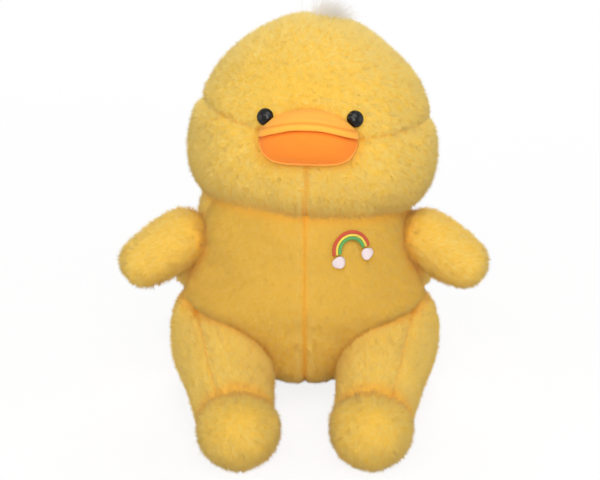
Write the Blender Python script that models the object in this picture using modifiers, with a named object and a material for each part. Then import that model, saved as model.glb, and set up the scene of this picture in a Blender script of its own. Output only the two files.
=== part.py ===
"""Seated plush duck: plush panels over fibre fill, with limbs that turn at their sewn roots.

Metres, +Z up. The duck faces -Y and its own left side is +X. The origin is the middle of the flat
seat. Every form is a swelling solid given by a few sizes. A skin is that solid with a smaller one
taken out of it, and it is split into panels along its seams.
"""

import math
from collections import namedtuple

import bpy
import bmesh
from mathutils import Matrix, Vector

# Fabric, gaps and cuts
skin = 0.003                # plush backing with the dense foot of its pile
short_nap = 0.0018          # bill fabric
clearance = 0.0003          # between touching pieces
seat_cut = 0.0012           # depth of the flats that the duck stands on
turn_clearance = 0.0005     # between a limb and what it turns past
reach = 0.6                 # half length of a splitting box, past the whole duck

# Head, in its own frame: origin on its axis at its widest level
head_half_width = 0.116
head_half_depth = 0.095
head_rise = 0.128
head_drop = 0.0646
crown_power = 1.85
cheek_power = 2.5
head_height = 0.2286        # of its widest level above the floor
head_set_back = 0.006
head_side = 0.0075          # it leans to the duck's left
head_roll = math.radians(3)
head_tilt = math.radians(3.5)
head_yaw = math.radians(-4)
face_seam_height = 0.036    # above the widest level
back_seam = 0.012           # behind the head's axis

# Bill
bill_half_width = 0.0485
bill_length = 0.045         # out of the face
bill_root = 0.070           # in front of the head's axis
bill_rise = 0.0145
bill_fall = 0.040
bill_height = 0.043         # lip above the widest level
bill_droop = 0.019          # of the mouth's corners
bill_power = 2.2

# Eyes
eye_radius = 0.007
eye_bulge = 0.0046
eye_spread = 0.040          # half the distance between them
eye_height = 0.0465
post_radius = 0.0023
post_length = 0.012
washer_radius = 0.0085
washer_thickness = 0.0014
washer_depth = 0.0052       # under the plush surface

# Tuft
tuft_strands = 6
tuft_half_width = 0.026
tuft_strand_radius = 0.0058
tuft_length = 0.009
tuft_lean = math.radians(28)
tuft_fan = math.radians(16)
tuft_sunk = 0.008
tuft_side = 0.004

# Body
body_half_width = 0.107
body_half_depth = 0.088
body_waist_height = 0.105   # of its widest level above the floor
body_rise = 0.125
shoulder_power = 3
hip_power = 2.5
hip_taper_share = 0.3
hip_swell_share = 0.15      # of the half width, beside the thighs
hip_swell_height = -0.014   # from the widest level
hip_swell_reach = 0.032
side_seam = -0.024          # behind the body's axis, so a minus puts it in front
seat_height = 0.014         # top edge of the seat panel

# Arms
shoulder_spread = 0.112
shoulder_forward = 0.020
shoulder_height = 0.152
shoulder_radius = 0.0285
hand_radius = 0.0245
arm_swell = 0.0022
arm_length = 0.043          # shoulder joint to the middle of the hand
arm_droop = math.radians(28)
arm_forward = math.radians(20)
arm_raise = 35              # degrees
arm_lower = 10

# Legs
hip_spread = 0.079
hip_forward = 0.010
hip_radius = 0.050
ankle_radius = 0.0345
ankle_spread = 0.061
ankle_forward = 0.147
leg_swell = 0.0
leg_hang = 50               # degrees that a lifted duck's legs hang down
leg_seam_turn = math.radians(55)    # its side seam, up from its outer side

# Feet
foot_half_width = 0.0368
foot_half_length = 0.0375
foot_half_height = 0.0335
foot_spread = 0.057
foot_forward = 0.176
foot_opening = 0.016

# Rainbow
rainbow_side = 0.0425
rainbow_height = 0.160
rainbow_turn = math.radians(10)
rainbow_radius = 0.0182     # outer edge of the red band
red_width = 0.0030
yellow_width = 0.0018
green_width = 0.0030
thread_height = 0.0012
cloud_radius = 0.0060
cloud_bump_share = 0.16
cloud_bumps = 5
cloud_points = 20
arc_steps = 12

# Mesh detail
form_segments = 26
form_rings = 13
limb_steps = 16
arc_points = 4
mid_points = 2
small_steps = 12
lip_slices = 9
arm_turn_steps = 4
leg_turn_steps = 8

Egg = namedtuple("Egg", "half_width half_depth rise drop top_power bottom_power "
                 "taper_share swell_share swell_height swell_reach", defaults=(0, 0, 0, 1))
head_egg = Egg(head_half_width, head_half_depth, head_rise, head_drop, crown_power, cheek_power)
body_drop = body_waist_height + seat_cut
body_egg = Egg(body_half_width, body_half_depth, body_rise, body_drop, shoulder_power, hip_power,
               hip_taper_share, hip_swell_share, hip_swell_height, hip_swell_reach)
foot_egg = Egg(foot_half_width, foot_half_length, foot_half_height, foot_half_height, 2, 2)
bill_egg = Egg(bill_half_width, bill_length, bill_rise, bill_fall, bill_power, bill_power)


# Scene, materials and placing

def clear_scene():
    for thing in list(bpy.data.objects):
        bpy.data.objects.remove(thing, do_unlink=True)


def new_collection(name):
    group = bpy.data.collections.new(name)
    bpy.context.scene.collection.children.link(group)
    return group


def material(name, colour, roughness, metallic=0.0):
    """A plain finish: colour is sRGB as a hex string."""
    surface = bpy.data.materials.new(name)
    surface.use_nodes = True
    shader = surface.node_tree.nodes["Principled BSDF"]
    linear = [(int(colour[i:i + 2], 16) / 255) ** 2.2 for i in (0, 2, 4)]
    shader.inputs["Base Color"].default_value = (*linear, 1)
    shader.inputs["Roughness"].default_value = roughness
    shader.inputs["Metallic"].default_value = metallic
    surface.diffuse_color = (*linear, 1)
    return surface


def add_object(name, mesh, group, frame=None, surface=None):
    thing = bpy.data.objects.new(name, mesh)
    group.objects.link(thing)
    thing.parent = frame
    if surface:
        mesh.materials.append(surface)
    if group is cutters:
        thing.display_type = "WIRE"
        thing.hide_render = True
    return thing


def empty(name, matrix):
    thing = bpy.data.objects.new(name, None)
    parts.objects.link(thing)
    thing.matrix_world = matrix
    return thing


def mesh_from(bm, name):
    mesh = bpy.data.meshes.new(name)
    bm.to_mesh(mesh)
    bm.free()
    mesh.shade_smooth()
    return mesh


# Shapes

def offset_egg(form, distance):
    """The same form, grown by a distance on every side, or shrunk by a negative one."""
    return form._replace(half_width=form.half_width + distance,
                         half_depth=form.half_depth + distance,
                         rise=form.rise + distance,
                         drop=form.drop + distance)


def egg_share(form, height):
    """Share of its full width that the form has at a height above its widest level."""
    above = height >= 0
    share = min(abs(height) / (form.rise if above else form.drop), 1)
    power = form.top_power if above else form.bottom_power
    taper = 0 if above else form.taper_share * share
    swell = form.swell_share * math.exp(-((height - form.swell_height) / form.swell_reach) ** 2)
    return (1 - share ** power) ** (1 / power) * (1 - taper + swell)


def egg_point(form, side, height, front=True):
    """Point of the form's surface at a given x and z."""
    share = egg_share(form, height)
    across = min(abs(side) / (form.half_width * share), 1)
    depth = form.half_depth * share * math.sqrt(1 - across ** 2)
    return Vector((side, -depth if front else depth, height))


def egg_normal(form, point, step_share=0.01):
    """Outward direction of the surface at one of its points, from two small steps along it."""
    step = form.half_width * step_share
    front = point.y < 0
    sideways = egg_point(form, point.x + step, point.z, front) - point
    upwards = egg_point(form, point.x, point.z + step, front) - point
    normal = sideways.cross(upwards).normalized()
    return normal if (normal.y < 0) == front else -normal


def egg_mesh(name, form, segments=form_segments, rings=form_rings):
    """A unit sphere whose rings are moved to the form's widths and heights."""
    bm = bmesh.new()
    bmesh.ops.create_uvsphere(bm, u_segments=segments, v_segments=rings, radius=1)
    for vert in bm.verts:
        ring = math.hypot(vert.co.x, vert.co.y)
        height = vert.co.z * (form.rise if vert.co.z > 0 else form.drop)
        share = egg_share(form, height) / ring if ring > clearance else 0
        vert.co = (vert.co.x * share * form.half_width, vert.co.y * share * form.half_depth, height)
    return mesh_from(bm, name)


def box_mesh(name, low, high):
    bm = bmesh.new()
    bmesh.ops.create_cube(bm, size=1)
    low = Vector(low)
    high = Vector(high)
    for vert in bm.verts:
        vert.co = low + (high - low) * (vert.co + Vector((0.5, 0.5, 0.5)))
    return mesh_from(bm, name)


def cylinder_mesh(name, radius, bottom, top, steps=small_steps):
    bm = bmesh.new()
    bmesh.ops.create_cone(bm, cap_ends=True, segments=steps, radius1=radius, radius2=radius,
                          depth=top - bottom)
    bmesh.ops.translate(bm, verts=bm.verts, vec=(0, 0, (top + bottom) / 2))
    return mesh_from(bm, name)


def prism_mesh(name, outline, bottom, top):
    """A flat outline, drawn in x and y, pulled up from one height to another."""
    bm = bmesh.new()
    face = bm.faces.new([bm.verts.new((x, y, bottom)) for x, y in outline])
    pulled = bmesh.ops.extrude_face_region(bm, geom=[face])
    moved = [item for item in pulled["geom"] if isinstance(item, bmesh.types.BMVert)]
    bmesh.ops.translate(bm, verts=moved, vec=(0, 0, top - bottom))
    bmesh.ops.recalc_face_normals(bm, faces=bm.faces)
    return mesh_from(bm, name)


def turned(name, outline, group, frame, surface=None, steps=limb_steps):
    """A profile of (radius, height) points, from top to bottom, turned round Z."""
    mesh = bpy.data.meshes.new(name)
    edges = [(i, i + 1) for i in range(len(outline) - 1)]
    mesh.from_pydata([(radius, 0, height) for radius, height in outline], edges, [])
    thing = add_object(name, mesh, group, frame, surface)
    screw = thing.modifiers.new("turn", "SCREW")
    screw.steps = steps
    screw.render_steps = steps
    screw.use_merge_vertices = True
    screw.merge_threshold = 0.00001
    return thing


def limb_outline(root_radius, tip_radius, length, swell, grow=0.0):
    """Profile of a limb from its round tip, over its swelling, to its round root."""
    tip = tip_radius + grow
    root = root_radius + grow
    outline = [(0, length + tip)]
    for i in range(arc_points - 1, 0, -1):
        angle = math.radians(90) * i / arc_points
        outline.append((tip * math.cos(angle), length + tip * math.sin(angle)))
    for i in range(mid_points + 1, -1, -1):
        along = i / (mid_points + 1)
        radius = root + (tip - root) * along + swell * math.sin(math.pi * along)
        outline.append((radius, length * along))
    for i in range(1, arc_points):
        angle = math.radians(90) * i / arc_points
        outline.append((root * math.cos(angle), -root * math.sin(angle)))
    outline.append((0, -root))
    return outline


# Cutting

def boolean(thing, other, operation="DIFFERENCE"):
    cut = thing.modifiers.new(other.name, "BOOLEAN")
    cut.operation = operation
    cut.solver = "EXACT"
    cut.object = other


def trim(thing, axis, limit, keep_above, frame):
    """Takes off what lies beyond a plane across one axis of a frame."""
    low = [-reach, -reach, -reach]
    high = [reach, reach, reach]
    if keep_above:
        high[axis] = limit
    else:
        low[axis] = limit
    side = "low" if keep_above else "high"
    name = f"{thing.name}_trim_{'xyz'[axis]}_{side}"
    boolean(thing, add_object(name, box_mesh(name, low, high), cutters, frame))


# Head

def head_cutter(name, distance):
    return add_object(name, egg_mesh(name, offset_egg(head_egg, distance)), cutters, head_frame)


def make_head():
    inner = head_cutter("head_inner", -skin)
    half_gap = clearance / 2
    face_low = face_seam_height - half_gap
    face_high = face_seam_height + half_gap
    front = back_seam - half_gap
    back = back_seam + half_gap
    panels = {
        "head_crown": [(2, face_high, True), (1, front, False)],
        "cheek_left": [(2, face_low, False), (1, front, False), (0, half_gap, True)],
        "cheek_right": [(2, face_low, False), (1, front, False), (0, -half_gap, False)],
        "head_back_left": [(1, back, True), (0, half_gap, True)],
        "head_back_right": [(1, back, True), (0, -half_gap, False)],
    }
    for name, planes in panels.items():
        panel = add_object(name, egg_mesh(name, head_egg), parts, head_frame, plush)
        boolean(panel, inner)
        for axis, limit, keep_above in planes:
            trim(panel, axis, limit, keep_above, head_frame)
    form = offset_egg(head_egg, -skin - clearance)
    add_object("head_stuffing", egg_mesh("head_stuffing", form), parts, head_frame, fill)


def bend_bill(mesh):
    """Lets the mouth's corners droop, as the photograph shows."""
    for vert in mesh.vertices:
        vert.co.z -= bill_droop * (vert.co.x / bill_half_width) ** 2


def bill_piece(name, distance, group, surface=None):
    mesh = egg_mesh(name, offset_egg(bill_egg, distance), limb_steps, form_rings)
    bend_bill(mesh)
    return add_object(name, mesh, group, bill_frame, surface)


def lip_cutter(name, limit, keep_above):
    """A block under or over the lip, bent like it, in slices that both covers share."""
    side = bill_half_width + skin
    low, high = (-reach, limit) if keep_above else (limit, reach)
    bm = bmesh.new()
    bm.from_mesh(box_mesh(name, (-side, -reach, low), (side, reach, high)))
    along = [edge for edge in bm.edges if abs(edge.verts[0].co.x - edge.verts[1].co.x) > side]
    bmesh.ops.subdivide_edges(bm, edges=along, cuts=lip_slices, use_grid_fill=True)
    mesh = mesh_from(bm, name)
    bend_bill(mesh)
    return add_object(name, mesh, cutters, bill_frame)


def make_bill():
    """Two covers that meet at the lip, over one piece of fill."""
    half_gap = clearance / 2
    grown_head = head_cutter("bill_seat", clearance)
    for name, keep_above, limit in (("bill_upper", True, half_gap), ("bill_lower", False, -half_gap)):
        cover = bill_piece(name, 0, parts, orange)
        boolean(cover, bill_piece(f"{name}_inner", -short_nap, cutters))
        boolean(cover, lip_cutter(f"{name}_lip", limit, keep_above))
        boolean(cover, grown_head)
    stuffing = bill_piece("bill_stuffing", -short_nap - clearance, parts, fill)
    boolean(stuffing, grown_head)


def make_eyes():
    for side, name in ((1, "left"), (-1, "right")):
        place = egg_point(head_egg, side * eye_spread, eye_height)
        normal = egg_normal(head_egg, place)
        turn = normal.to_track_quat("Z", "Y").to_matrix().to_4x4()
        frame = empty(f"eye_frame_{name}", Matrix())
        frame.parent = head_frame
        frame.matrix_local = Matrix.Translation(place) @ turn
        outline = [(0, clearance + eye_bulge)]
        for i in range(arc_points - 1, 0, -1):
            angle = math.radians(90) * i / arc_points
            outline.append((eye_radius * math.cos(angle), clearance + eye_bulge * math.sin(angle)))
        outline.append((eye_radius, clearance))
        outline.append((post_radius, clearance))
        outline.append((post_radius, -post_length))
        outline.append((0, -post_length))
        turned(f"eye_{name}", outline, parts, frame, black, small_steps)

        washer = cylinder_mesh("washer", washer_radius, -washer_depth - washer_thickness, -washer_depth)
        ring = add_object(f"eye_washer_{name}", washer, parts, frame, clear_plastic)
        hole = cylinder_mesh("hole", post_radius + clearance, -post_length - clearance, reach)
        hole_cutter = add_object(f"post_hole_{name}", hole, cutters, frame)
        boolean(ring, hole_cutter)
        boolean(bpy.data.objects["head_crown"], hole_cutter)
        pocket = cylinder_mesh("pocket", washer_radius + clearance, -post_length - clearance, reach)
        pocket_cutter = add_object(f"washer_pocket_{name}", pocket, cutters, frame)
        boolean(bpy.data.objects["head_stuffing"], pocket_cutter)


def make_tuft():
    """A low fan of tapered strands, standing in the crown."""
    frame = empty("tuft_frame", Matrix())
    frame.parent = head_frame
    top = Vector((tuft_side, 0, head_rise * egg_top_share()))
    frame.matrix_local = Matrix.Translation(top)
    strands = []
    for i in range(tuft_strands):
        along = 2 * i / (tuft_strands - 1) - 1
        bm = bmesh.new()
        length = tuft_length + tuft_sunk
        bmesh.ops.create_cone(bm, cap_ends=True, segments=6, radius1=tuft_strand_radius,
                              radius2=clearance, depth=length)
        bmesh.ops.translate(bm, verts=bm.verts, vec=(0, 0, length / 2 - tuft_sunk))
        turn = Matrix.Rotation(tuft_lean + tuft_fan * along, 4, "Y")
        move = Matrix.Translation((tuft_half_width * along / 2, 0, 0))
        bmesh.ops.transform(bm, matrix=move @ turn, verts=bm.verts)
        group = parts if i == 0 else cutters
        name = "crown_tuft" if i == 0 else f"tuft_strand_{i}"
        strands.append(add_object(name, mesh_from(bm, name), group, frame, pale_hair))
    for strand in strands[1:]:
        boolean(strands[0], strand, "UNION")
    boolean(strands[0], head_cutter("tuft_seat", clearance))


def egg_top_share():
    """Height of the crown's surface beside the axis, as a share of the head's rise."""
    across = tuft_side / head_half_width
    return (1 - across ** crown_power) ** (1 / crown_power)


# Body

def body_form(name, distance, group, surface=None):
    mesh = egg_mesh(name, offset_egg(body_egg, distance))
    return add_object(name, mesh, group, body_frame, surface)


def make_body():
    """Five panels round the fill, cut by the head above them and by the limbs' turning space."""
    inner = body_form("body_inner", -skin, cutters)
    neck = head_cutter("neck", clearance)
    half_gap = clearance / 2
    front = side_seam - half_gap
    back = side_seam + half_gap
    above_seat = seat_height - body_waist_height + half_gap
    below_seat = seat_height - body_waist_height - half_gap
    panels = {
        "belly_left": (("left",), [(0, half_gap, True), (1, front, False), (2, above_seat, True)]),
        "belly_right": (("right",), [(0, -half_gap, False), (1, front, False), (2, above_seat, True)]),
        "back_left": (("left",), [(0, half_gap, True), (1, back, True), (2, above_seat, True)]),
        "back_right": (("right",), [(0, -half_gap, False), (1, back, True), (2, above_seat, True)]),
        "seat_panel": (("left", "right"), [(2, below_seat, False), (2, -body_waist_height, True)]),
    }
    for name, (sides, planes) in panels.items():
        panel = body_form(name, 0, parts, plush)
        boolean(panel, inner)
        for axis, limit, keep_above in planes:
            trim(panel, axis, limit, keep_above, body_frame)
        if name != "seat_panel":
            boolean(panel, neck)
        for side in sides:
            for limb in turning_space[side]:
                boolean(panel, limb)
    stuffing = body_form("body_stuffing", -skin - clearance, parts, fill)
    boolean(stuffing, neck)
    for side in ("left", "right"):
        for limb in turning_space[side]:
            boolean(stuffing, limb)


# Limbs

def limb_frame(joint, tip):
    """Frame at a joint, with its Z axis along the limb and its Y axis level with the floor."""
    along = (tip - joint).normalized()
    level = Vector((0, 0, 1)).cross(along).normalized()
    across = level.cross(along).normalized()
    turn = Matrix((across, level, along)).transposed().to_4x4()
    return Matrix.Translation(joint) @ turn


def socket_radius(radius):
    """Radius of a faceted hollow whose flats clear a faceted ball that turns in it."""
    half_step = math.pi / limb_steps
    return (radius + clearance) / math.cos(half_step) ** 2


def sweep(name, matrix, outline, ball_radius, axis, first, last, steps):
    """Cutters for the space that a limb needs at its joint and at angles all through its range."""
    joint = matrix.to_translation()
    ball = bmesh.new()
    bmesh.ops.create_uvsphere(ball, u_segments=limb_steps, v_segments=limb_steps // 2,
                              radius=socket_radius(ball_radius))
    socket = add_object(f"{name}_socket", mesh_from(ball, f"{name}_socket"), cutters)
    socket.location = joint
    found = [socket]
    for i in range(steps + 1):
        turn = Matrix.Rotation(math.radians(first + (last - first) * i / steps), 4, axis)
        place = Matrix.Translation(joint) @ turn @ Matrix.Translation(-joint) @ matrix
        copy = turned(f"{name}_space_{i}", outline, cutters, None)
        copy.matrix_world = place
        found.append(copy)
    return found


def make_limb_shell(prefix, halves, sizes, frame, axis):
    """Two plush panels that meet on a plane through the limb's axis, and the fill inside them."""
    outer = limb_outline(*sizes)
    inner = turned(f"{prefix}_inner", limb_outline(*sizes, grow=-skin), cutters, frame)
    made = []
    for name, keep_above in zip(halves, (True, False)):
        panel = turned(f"{prefix}_{name}", outer, parts, frame, plush)
        boolean(panel, inner)
        limit = clearance / 2 if keep_above else -clearance / 2
        trim(panel, axis, limit, keep_above, frame)
        made.append(panel)
    fill_outline = limb_outline(*sizes, grow=-skin - clearance)
    made.append(turned(f"{prefix}_stuffing", fill_outline, parts, frame, fill))
    return made


def make_arm(side, name):
    joint = Vector((side * shoulder_spread, -shoulder_forward, shoulder_height))
    level = math.cos(arm_droop)
    along = Vector((side * level * math.cos(arm_forward), -level * math.sin(arm_forward),
                    -math.sin(arm_droop)))
    matrix = limb_frame(joint, joint + along)
    frame = empty(f"shoulder_{name}", matrix)
    sizes = (shoulder_radius, hand_radius, arm_length, arm_swell)
    halves = ("back", "front") if side > 0 else ("front", "back")
    make_limb_shell(f"arm_{name}", halves, sizes, frame, 1)
    space = limb_outline(*sizes, grow=turn_clearance)
    axis = Vector((0, -side, 0))
    turning_space[name] += sweep(f"arm_{name}", matrix, space, shoulder_radius + turn_clearance,
                                 axis, -arm_lower, arm_raise, arm_turn_steps)


def make_leg(side, name):
    """The leg, cut by the foot at its end and flat where it lies on the floor, and the foot."""
    hip_height = hip_radius - seat_cut
    ankle_height = ankle_radius - seat_cut
    joint = Vector((side * hip_spread, -hip_forward, hip_height))
    ankle = Vector((side * ankle_spread, -ankle_forward, ankle_height))
    matrix = limb_frame(joint, ankle) @ Matrix.Rotation(side * leg_seam_turn, 4, "Z")
    frame = empty(f"hip_{name}", matrix)
    length = (ankle - joint).length
    sizes = (hip_radius, ankle_radius, length, leg_swell)
    pieces = make_limb_shell(f"leg_{name}", ("bottom", "top"), sizes, frame, 0)

    foot_centre = Vector((side * foot_spread, -foot_forward, foot_half_height - seat_cut))
    foot_frame = empty(f"foot_frame_{name}", Matrix.Translation(foot_centre))
    foot_frame.parent = frame
    foot_frame.matrix_parent_inverse = matrix.inverted()
    foot_space = foot_form(f"foot_{name}_space", clearance, cutters, foot_frame)
    for piece in pieces:
        boolean(piece, foot_space)
        boolean(piece, floor)

    cover = foot_form(f"foot_{name}_cover", 0, parts, foot_frame, plush)
    boolean(cover, foot_form(f"foot_{name}_inner", -skin, cutters, foot_frame))
    hole = cylinder_mesh("opening", foot_opening, -foot_half_length - skin, 0)
    opening = add_object(f"foot_{name}_opening", hole, cutters)
    opening.matrix_world = limb_frame(foot_centre, foot_centre + (ankle - joint))
    boolean(cover, opening)
    boolean(cover, floor)
    foot_form(f"foot_{name}_stuffing", -skin - clearance, parts, foot_frame, fill)

    space = limb_outline(*sizes, grow=turn_clearance)
    turning_space[name] += sweep(f"leg_{name}", matrix, space, hip_radius + turn_clearance,
                                 Vector((1, 0, 0)), 0, leg_hang, leg_turn_steps)


def foot_form(name, distance, group, frame, surface=None):
    mesh = egg_mesh(name, offset_egg(foot_egg, distance), limb_steps, limb_steps // 2)
    return add_object(name, mesh, group, frame, surface)


# Embroidery

def arc_outline(outer, inner):
    """Half ring, drawn clockwise over the outer edge and back along the inner one."""
    angles = [math.pi * i / arc_steps for i in range(arc_steps + 1)]
    over = [(outer * math.cos(a), outer * math.sin(a)) for a in angles]
    back = [(inner * math.cos(a), inner * math.sin(a)) for a in reversed(angles)]
    return over + back


def cloud_outline(centre):
    """Round patch with shallow bumps."""
    points = []
    for i in range(cloud_points):
        angle = 2 * math.pi * i / cloud_points
        radius = cloud_radius * (1 + cloud_bump_share * math.cos(cloud_bumps * angle))
        points.append((centre + radius * math.cos(angle), -cloud_radius + radius * math.sin(angle)))
    return points


def make_rainbow():
    """Three half rings over two clouds, as stitches that follow the chest."""
    local_height = rainbow_height - body_waist_height
    place = egg_point(body_egg, rainbow_side, local_height)
    normal = egg_normal(body_egg, place)
    turn = normal.to_track_quat("Z", "Y").to_matrix().to_4x4()
    frame = empty("rainbow_frame", Matrix())
    frame.parent = body_frame
    frame.matrix_local = Matrix.Translation(place) @ turn @ Matrix.Rotation(rainbow_turn, 4, "Z")
    over = body_form("stitch_top", clearance + thread_height, cutters)
    under = body_form("stitch_bottom", clearance, cutters)
    red_inner = rainbow_radius - red_width
    yellow_outer = red_inner - clearance
    yellow_inner = yellow_outer - yellow_width
    green_outer = yellow_inner - clearance
    green_inner = green_outer - green_width
    band_middle = (rainbow_radius + green_inner) / 2
    shapes = (
        ("rainbow_red", arc_outline(rainbow_radius, red_inner), red_thread),
        ("rainbow_yellow", arc_outline(yellow_outer, yellow_inner), yellow_thread),
        ("rainbow_green", arc_outline(green_outer, green_inner), green_thread),
        ("cloud_left", cloud_outline(band_middle), white_thread),
        ("cloud_right", cloud_outline(-band_middle), white_thread),
    )
    depth = rainbow_radius
    for name, outline, surface in shapes:
        mesh = prism_mesh(name, outline, -depth, depth)
        patch = add_object(name, mesh, parts, frame, surface)
        if name.startswith("cloud"):
            mesh.transform(Matrix.Translation((0, -clearance - cloud_radius * cloud_bump_share, 0)))
        boolean(patch, over, "INTERSECT")
        boolean(patch, under)


clear_scene()
parts = new_collection("plush_duck")
cutters = new_collection("cutters")

plush = material("yellow_plush", "F2C84E", 0.9)
orange = material("orange_short_nap", "F9A035", 0.8)
fill = material("white_fibre_fill", "F4F2EC", 0.95)
black = material("black_gloss_plastic", "0B0A0A", 0.08)
clear_plastic = material("white_washer_plastic", "E4E2DC", 0.45)
pale_hair = material("pale_hair", "F6E9DD", 0.8)
red_thread = material("red_thread", "E4574B", 0.5)
yellow_thread = material("yellow_thread", "F6E04A", 0.5)
green_thread = material("green_thread", "4FA56B", 0.5)
white_thread = material("pinkish_white_thread", "FBEFE9", 0.5)

head_place = Matrix.Translation((head_side, head_set_back, head_height))
head_turn = (Matrix.Rotation(head_roll, 4, "Y") @ Matrix.Rotation(-head_tilt, 4, "X")
             @ Matrix.Rotation(head_yaw, 4, "Z"))
head_frame = empty("head_frame", head_place @ head_turn)
body_frame = empty("body_frame", Matrix.Translation((0, 0, body_waist_height)))
bill_frame = empty("bill_frame", Matrix())
bill_frame.parent = head_frame
bill_frame.matrix_local = Matrix.Translation((0, -bill_root, bill_height))
floor = add_object("floor", box_mesh("floor", (-reach, -reach, -reach), (reach, reach, 0)), cutters)
turning_space = {"left": [], "right": []}

for duck_side, side_name in ((1, "left"), (-1, "right")):
    make_arm(duck_side, side_name)
    make_leg(duck_side, side_name)
make_head()
make_bill()
make_eyes()
make_tuft()
make_body()
make_rainbow()
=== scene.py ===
# %% [markdown]
# # A seated plush duck
# The real toy is cut from yellow plush, sewn inside out, turned and filled with polyester fibre. Its
# looks come from three things: full round forms, seams that pull narrow grooves into them, and a short
# dense pile that softens every edge. The duck is built in that order here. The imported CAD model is
# loaded first, as a fixed frame that says where each piece is, and each soft piece replaces its solid.

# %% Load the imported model
import math
from collections import namedtuple
import bmesh
import bpy
import numpy as np
from mathutils import Matrix, Vector


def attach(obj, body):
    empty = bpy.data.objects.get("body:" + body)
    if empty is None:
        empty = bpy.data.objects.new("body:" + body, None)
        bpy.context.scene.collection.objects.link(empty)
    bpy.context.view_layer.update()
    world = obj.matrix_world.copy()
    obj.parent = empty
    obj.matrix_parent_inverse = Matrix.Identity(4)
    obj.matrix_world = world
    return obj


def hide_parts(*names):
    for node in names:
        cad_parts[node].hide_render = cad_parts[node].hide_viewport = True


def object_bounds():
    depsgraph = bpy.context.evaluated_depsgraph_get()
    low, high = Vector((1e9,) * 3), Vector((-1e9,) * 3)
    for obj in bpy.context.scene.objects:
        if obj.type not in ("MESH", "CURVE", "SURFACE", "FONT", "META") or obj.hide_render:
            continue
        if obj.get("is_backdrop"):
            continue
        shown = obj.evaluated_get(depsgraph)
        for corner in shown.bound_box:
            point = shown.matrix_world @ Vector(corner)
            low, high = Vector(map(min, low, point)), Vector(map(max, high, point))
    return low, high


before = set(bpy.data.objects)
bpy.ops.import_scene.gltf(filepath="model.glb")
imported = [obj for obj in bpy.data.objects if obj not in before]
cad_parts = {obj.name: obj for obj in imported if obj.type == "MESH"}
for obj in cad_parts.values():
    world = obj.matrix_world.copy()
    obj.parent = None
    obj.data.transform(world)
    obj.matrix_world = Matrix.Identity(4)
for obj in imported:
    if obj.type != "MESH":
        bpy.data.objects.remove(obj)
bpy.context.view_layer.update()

# %% [markdown]
# ## Camera
# The photograph was taken from in front and a little above, with a lens long enough that the feet
# aren't much larger than the head. A camera that looks down 20 degrees from 1.33 m away, with a 90 mm
# lens, puts the head, hands and feet where the photograph has them.

# %% Camera


def add_object(name, data):
    """Puts a new object in the scene."""
    thing = bpy.data.objects.new(name, data)
    bpy.context.scene.collection.objects.link(thing)
    return thing


camera = add_object("camera", bpy.data.cameras.new("camera"))
camera.location = (-0.0041, -1.333, 0.627)
camera.rotation_euler = (math.radians(70), 0, 0)
camera.data.lens = 90.3
camera.data.sensor_width = 36
camera.data.clip_start = 0.01
bpy.context.scene.camera = camera
bpy.context.scene.view_settings.view_transform = "Standard"
# A ray of light crosses up to a few dozen fibres before it reaches the cloth, and none may stop it.
bpy.context.scene.cycles.transparent_max_bounces = 64
print("Camera looks down", round(90 - math.degrees(camera.rotation_euler.x)), "degrees")

# %% [markdown]
# ## Colour and nodes
# Colours are written as the hex values that a screen shows. Blender shades in linear light, so one
# function turns them. A second small function adds a node with its settings and its links, and every
# material below is made with it, or with the short ones after it for what materials often use.

# %% Colour and node helpers


def to_linear(hex_colour):
    """A screen colour such as FBD25A as linear red, green, blue and alpha."""
    screen = [int(hex_colour[i:i + 2], 16) / 255 for i in (0, 2, 4)]
    linear = [c / 12.92 if c <= 0.04045 else ((c + 0.055) / 1.055) ** 2.4 for c in screen]
    return (*linear, 1)


def add_node(tree, kind, inputs=None, **settings):
    """Adds a node. Settings are its properties, and inputs are values or sockets to link."""
    node = tree.nodes.new(kind)
    for name, value in settings.items():
        setattr(node, name, value)
    for name, value in (inputs or {}).items():
        if isinstance(value, bpy.types.NodeSocket):
            tree.links.new(value, node.inputs[name])
        else:
            node.inputs[name].default_value = value
    return node


def new_material(name):
    """An empty material and its node tree."""
    surface = bpy.data.materials.new(name)
    surface.use_nodes = True
    surface.node_tree.nodes.clear()
    return surface, surface.node_tree


def blend_colours(tree, factor, first, second):
    """The colour between two others. A Mix node's colour sockets are numbers 6 and 7."""
    node = add_node(tree, "ShaderNodeMix", {0: factor, 6: first, 7: second}, data_type="RGBA")
    return node.outputs[2]


def attribute(tree, name):
    """The number that each point carries under this name."""
    return add_node(tree, "ShaderNodeAttribute", attribute_name=name).outputs["Fac"]


def noise(tree, place, scale, detail):
    """A noise pattern over a place."""
    return add_node(tree, "ShaderNodeTexNoise", {"Vector": place, "Scale": scale, "Detail": detail})


def own_place(tree):
    """Where each point is in its own object, in metres."""
    return add_node(tree, "ShaderNodeTexCoord").outputs["Object"]


def ray_is(tree, *kinds):
    """1 where the ray is of one of these kinds, such as Is Camera Ray."""
    path = add_node(tree, "ShaderNodeLightPath")
    found = path.outputs[kinds[0]]
    for kind in kinds[1:]:
        found = add_node(tree, "ShaderNodeMath", {0: found, 1: path.outputs[kind]},
                         operation="MAXIMUM").outputs[0]
    return found


def show(tree, surface):
    """Makes a shader the one that the material shows."""
    add_node(tree, "ShaderNodeOutputMaterial", {"Surface": surface})


print("Linear red of FBD25A:", round(to_linear("FBD25A")[0], 3))

# %% [markdown]
# ## Acrylic pile
# Plush is a knitted cloth with a pile of fine crimped fibres standing out of it. Light gets in between
# the fibres, so their roots look deeper and more orange than their tips. Here that shade is painted on
# as a deeper root colour, and where a seam parts the pile a line of that deeper colour shows. Every
# point carries four numbers: how near it is to its fibre's tip, how much painted shade a seam or a
# neighbouring part beside it puts on it, how much painted shade dulls it towards tan, and how pale its
# fibre's tip is, with painted light and shade added to that paleness. It also carries the direction
# that it is shaded with. Lamp light reaches the cloth between real fibres. So most of the light from
# lamps and from the cloth around goes through the blades here, and to the camera they are solid.
# Acrylic has a soft sheen when it is seen edge on.

# %% Acrylic pile


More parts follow.
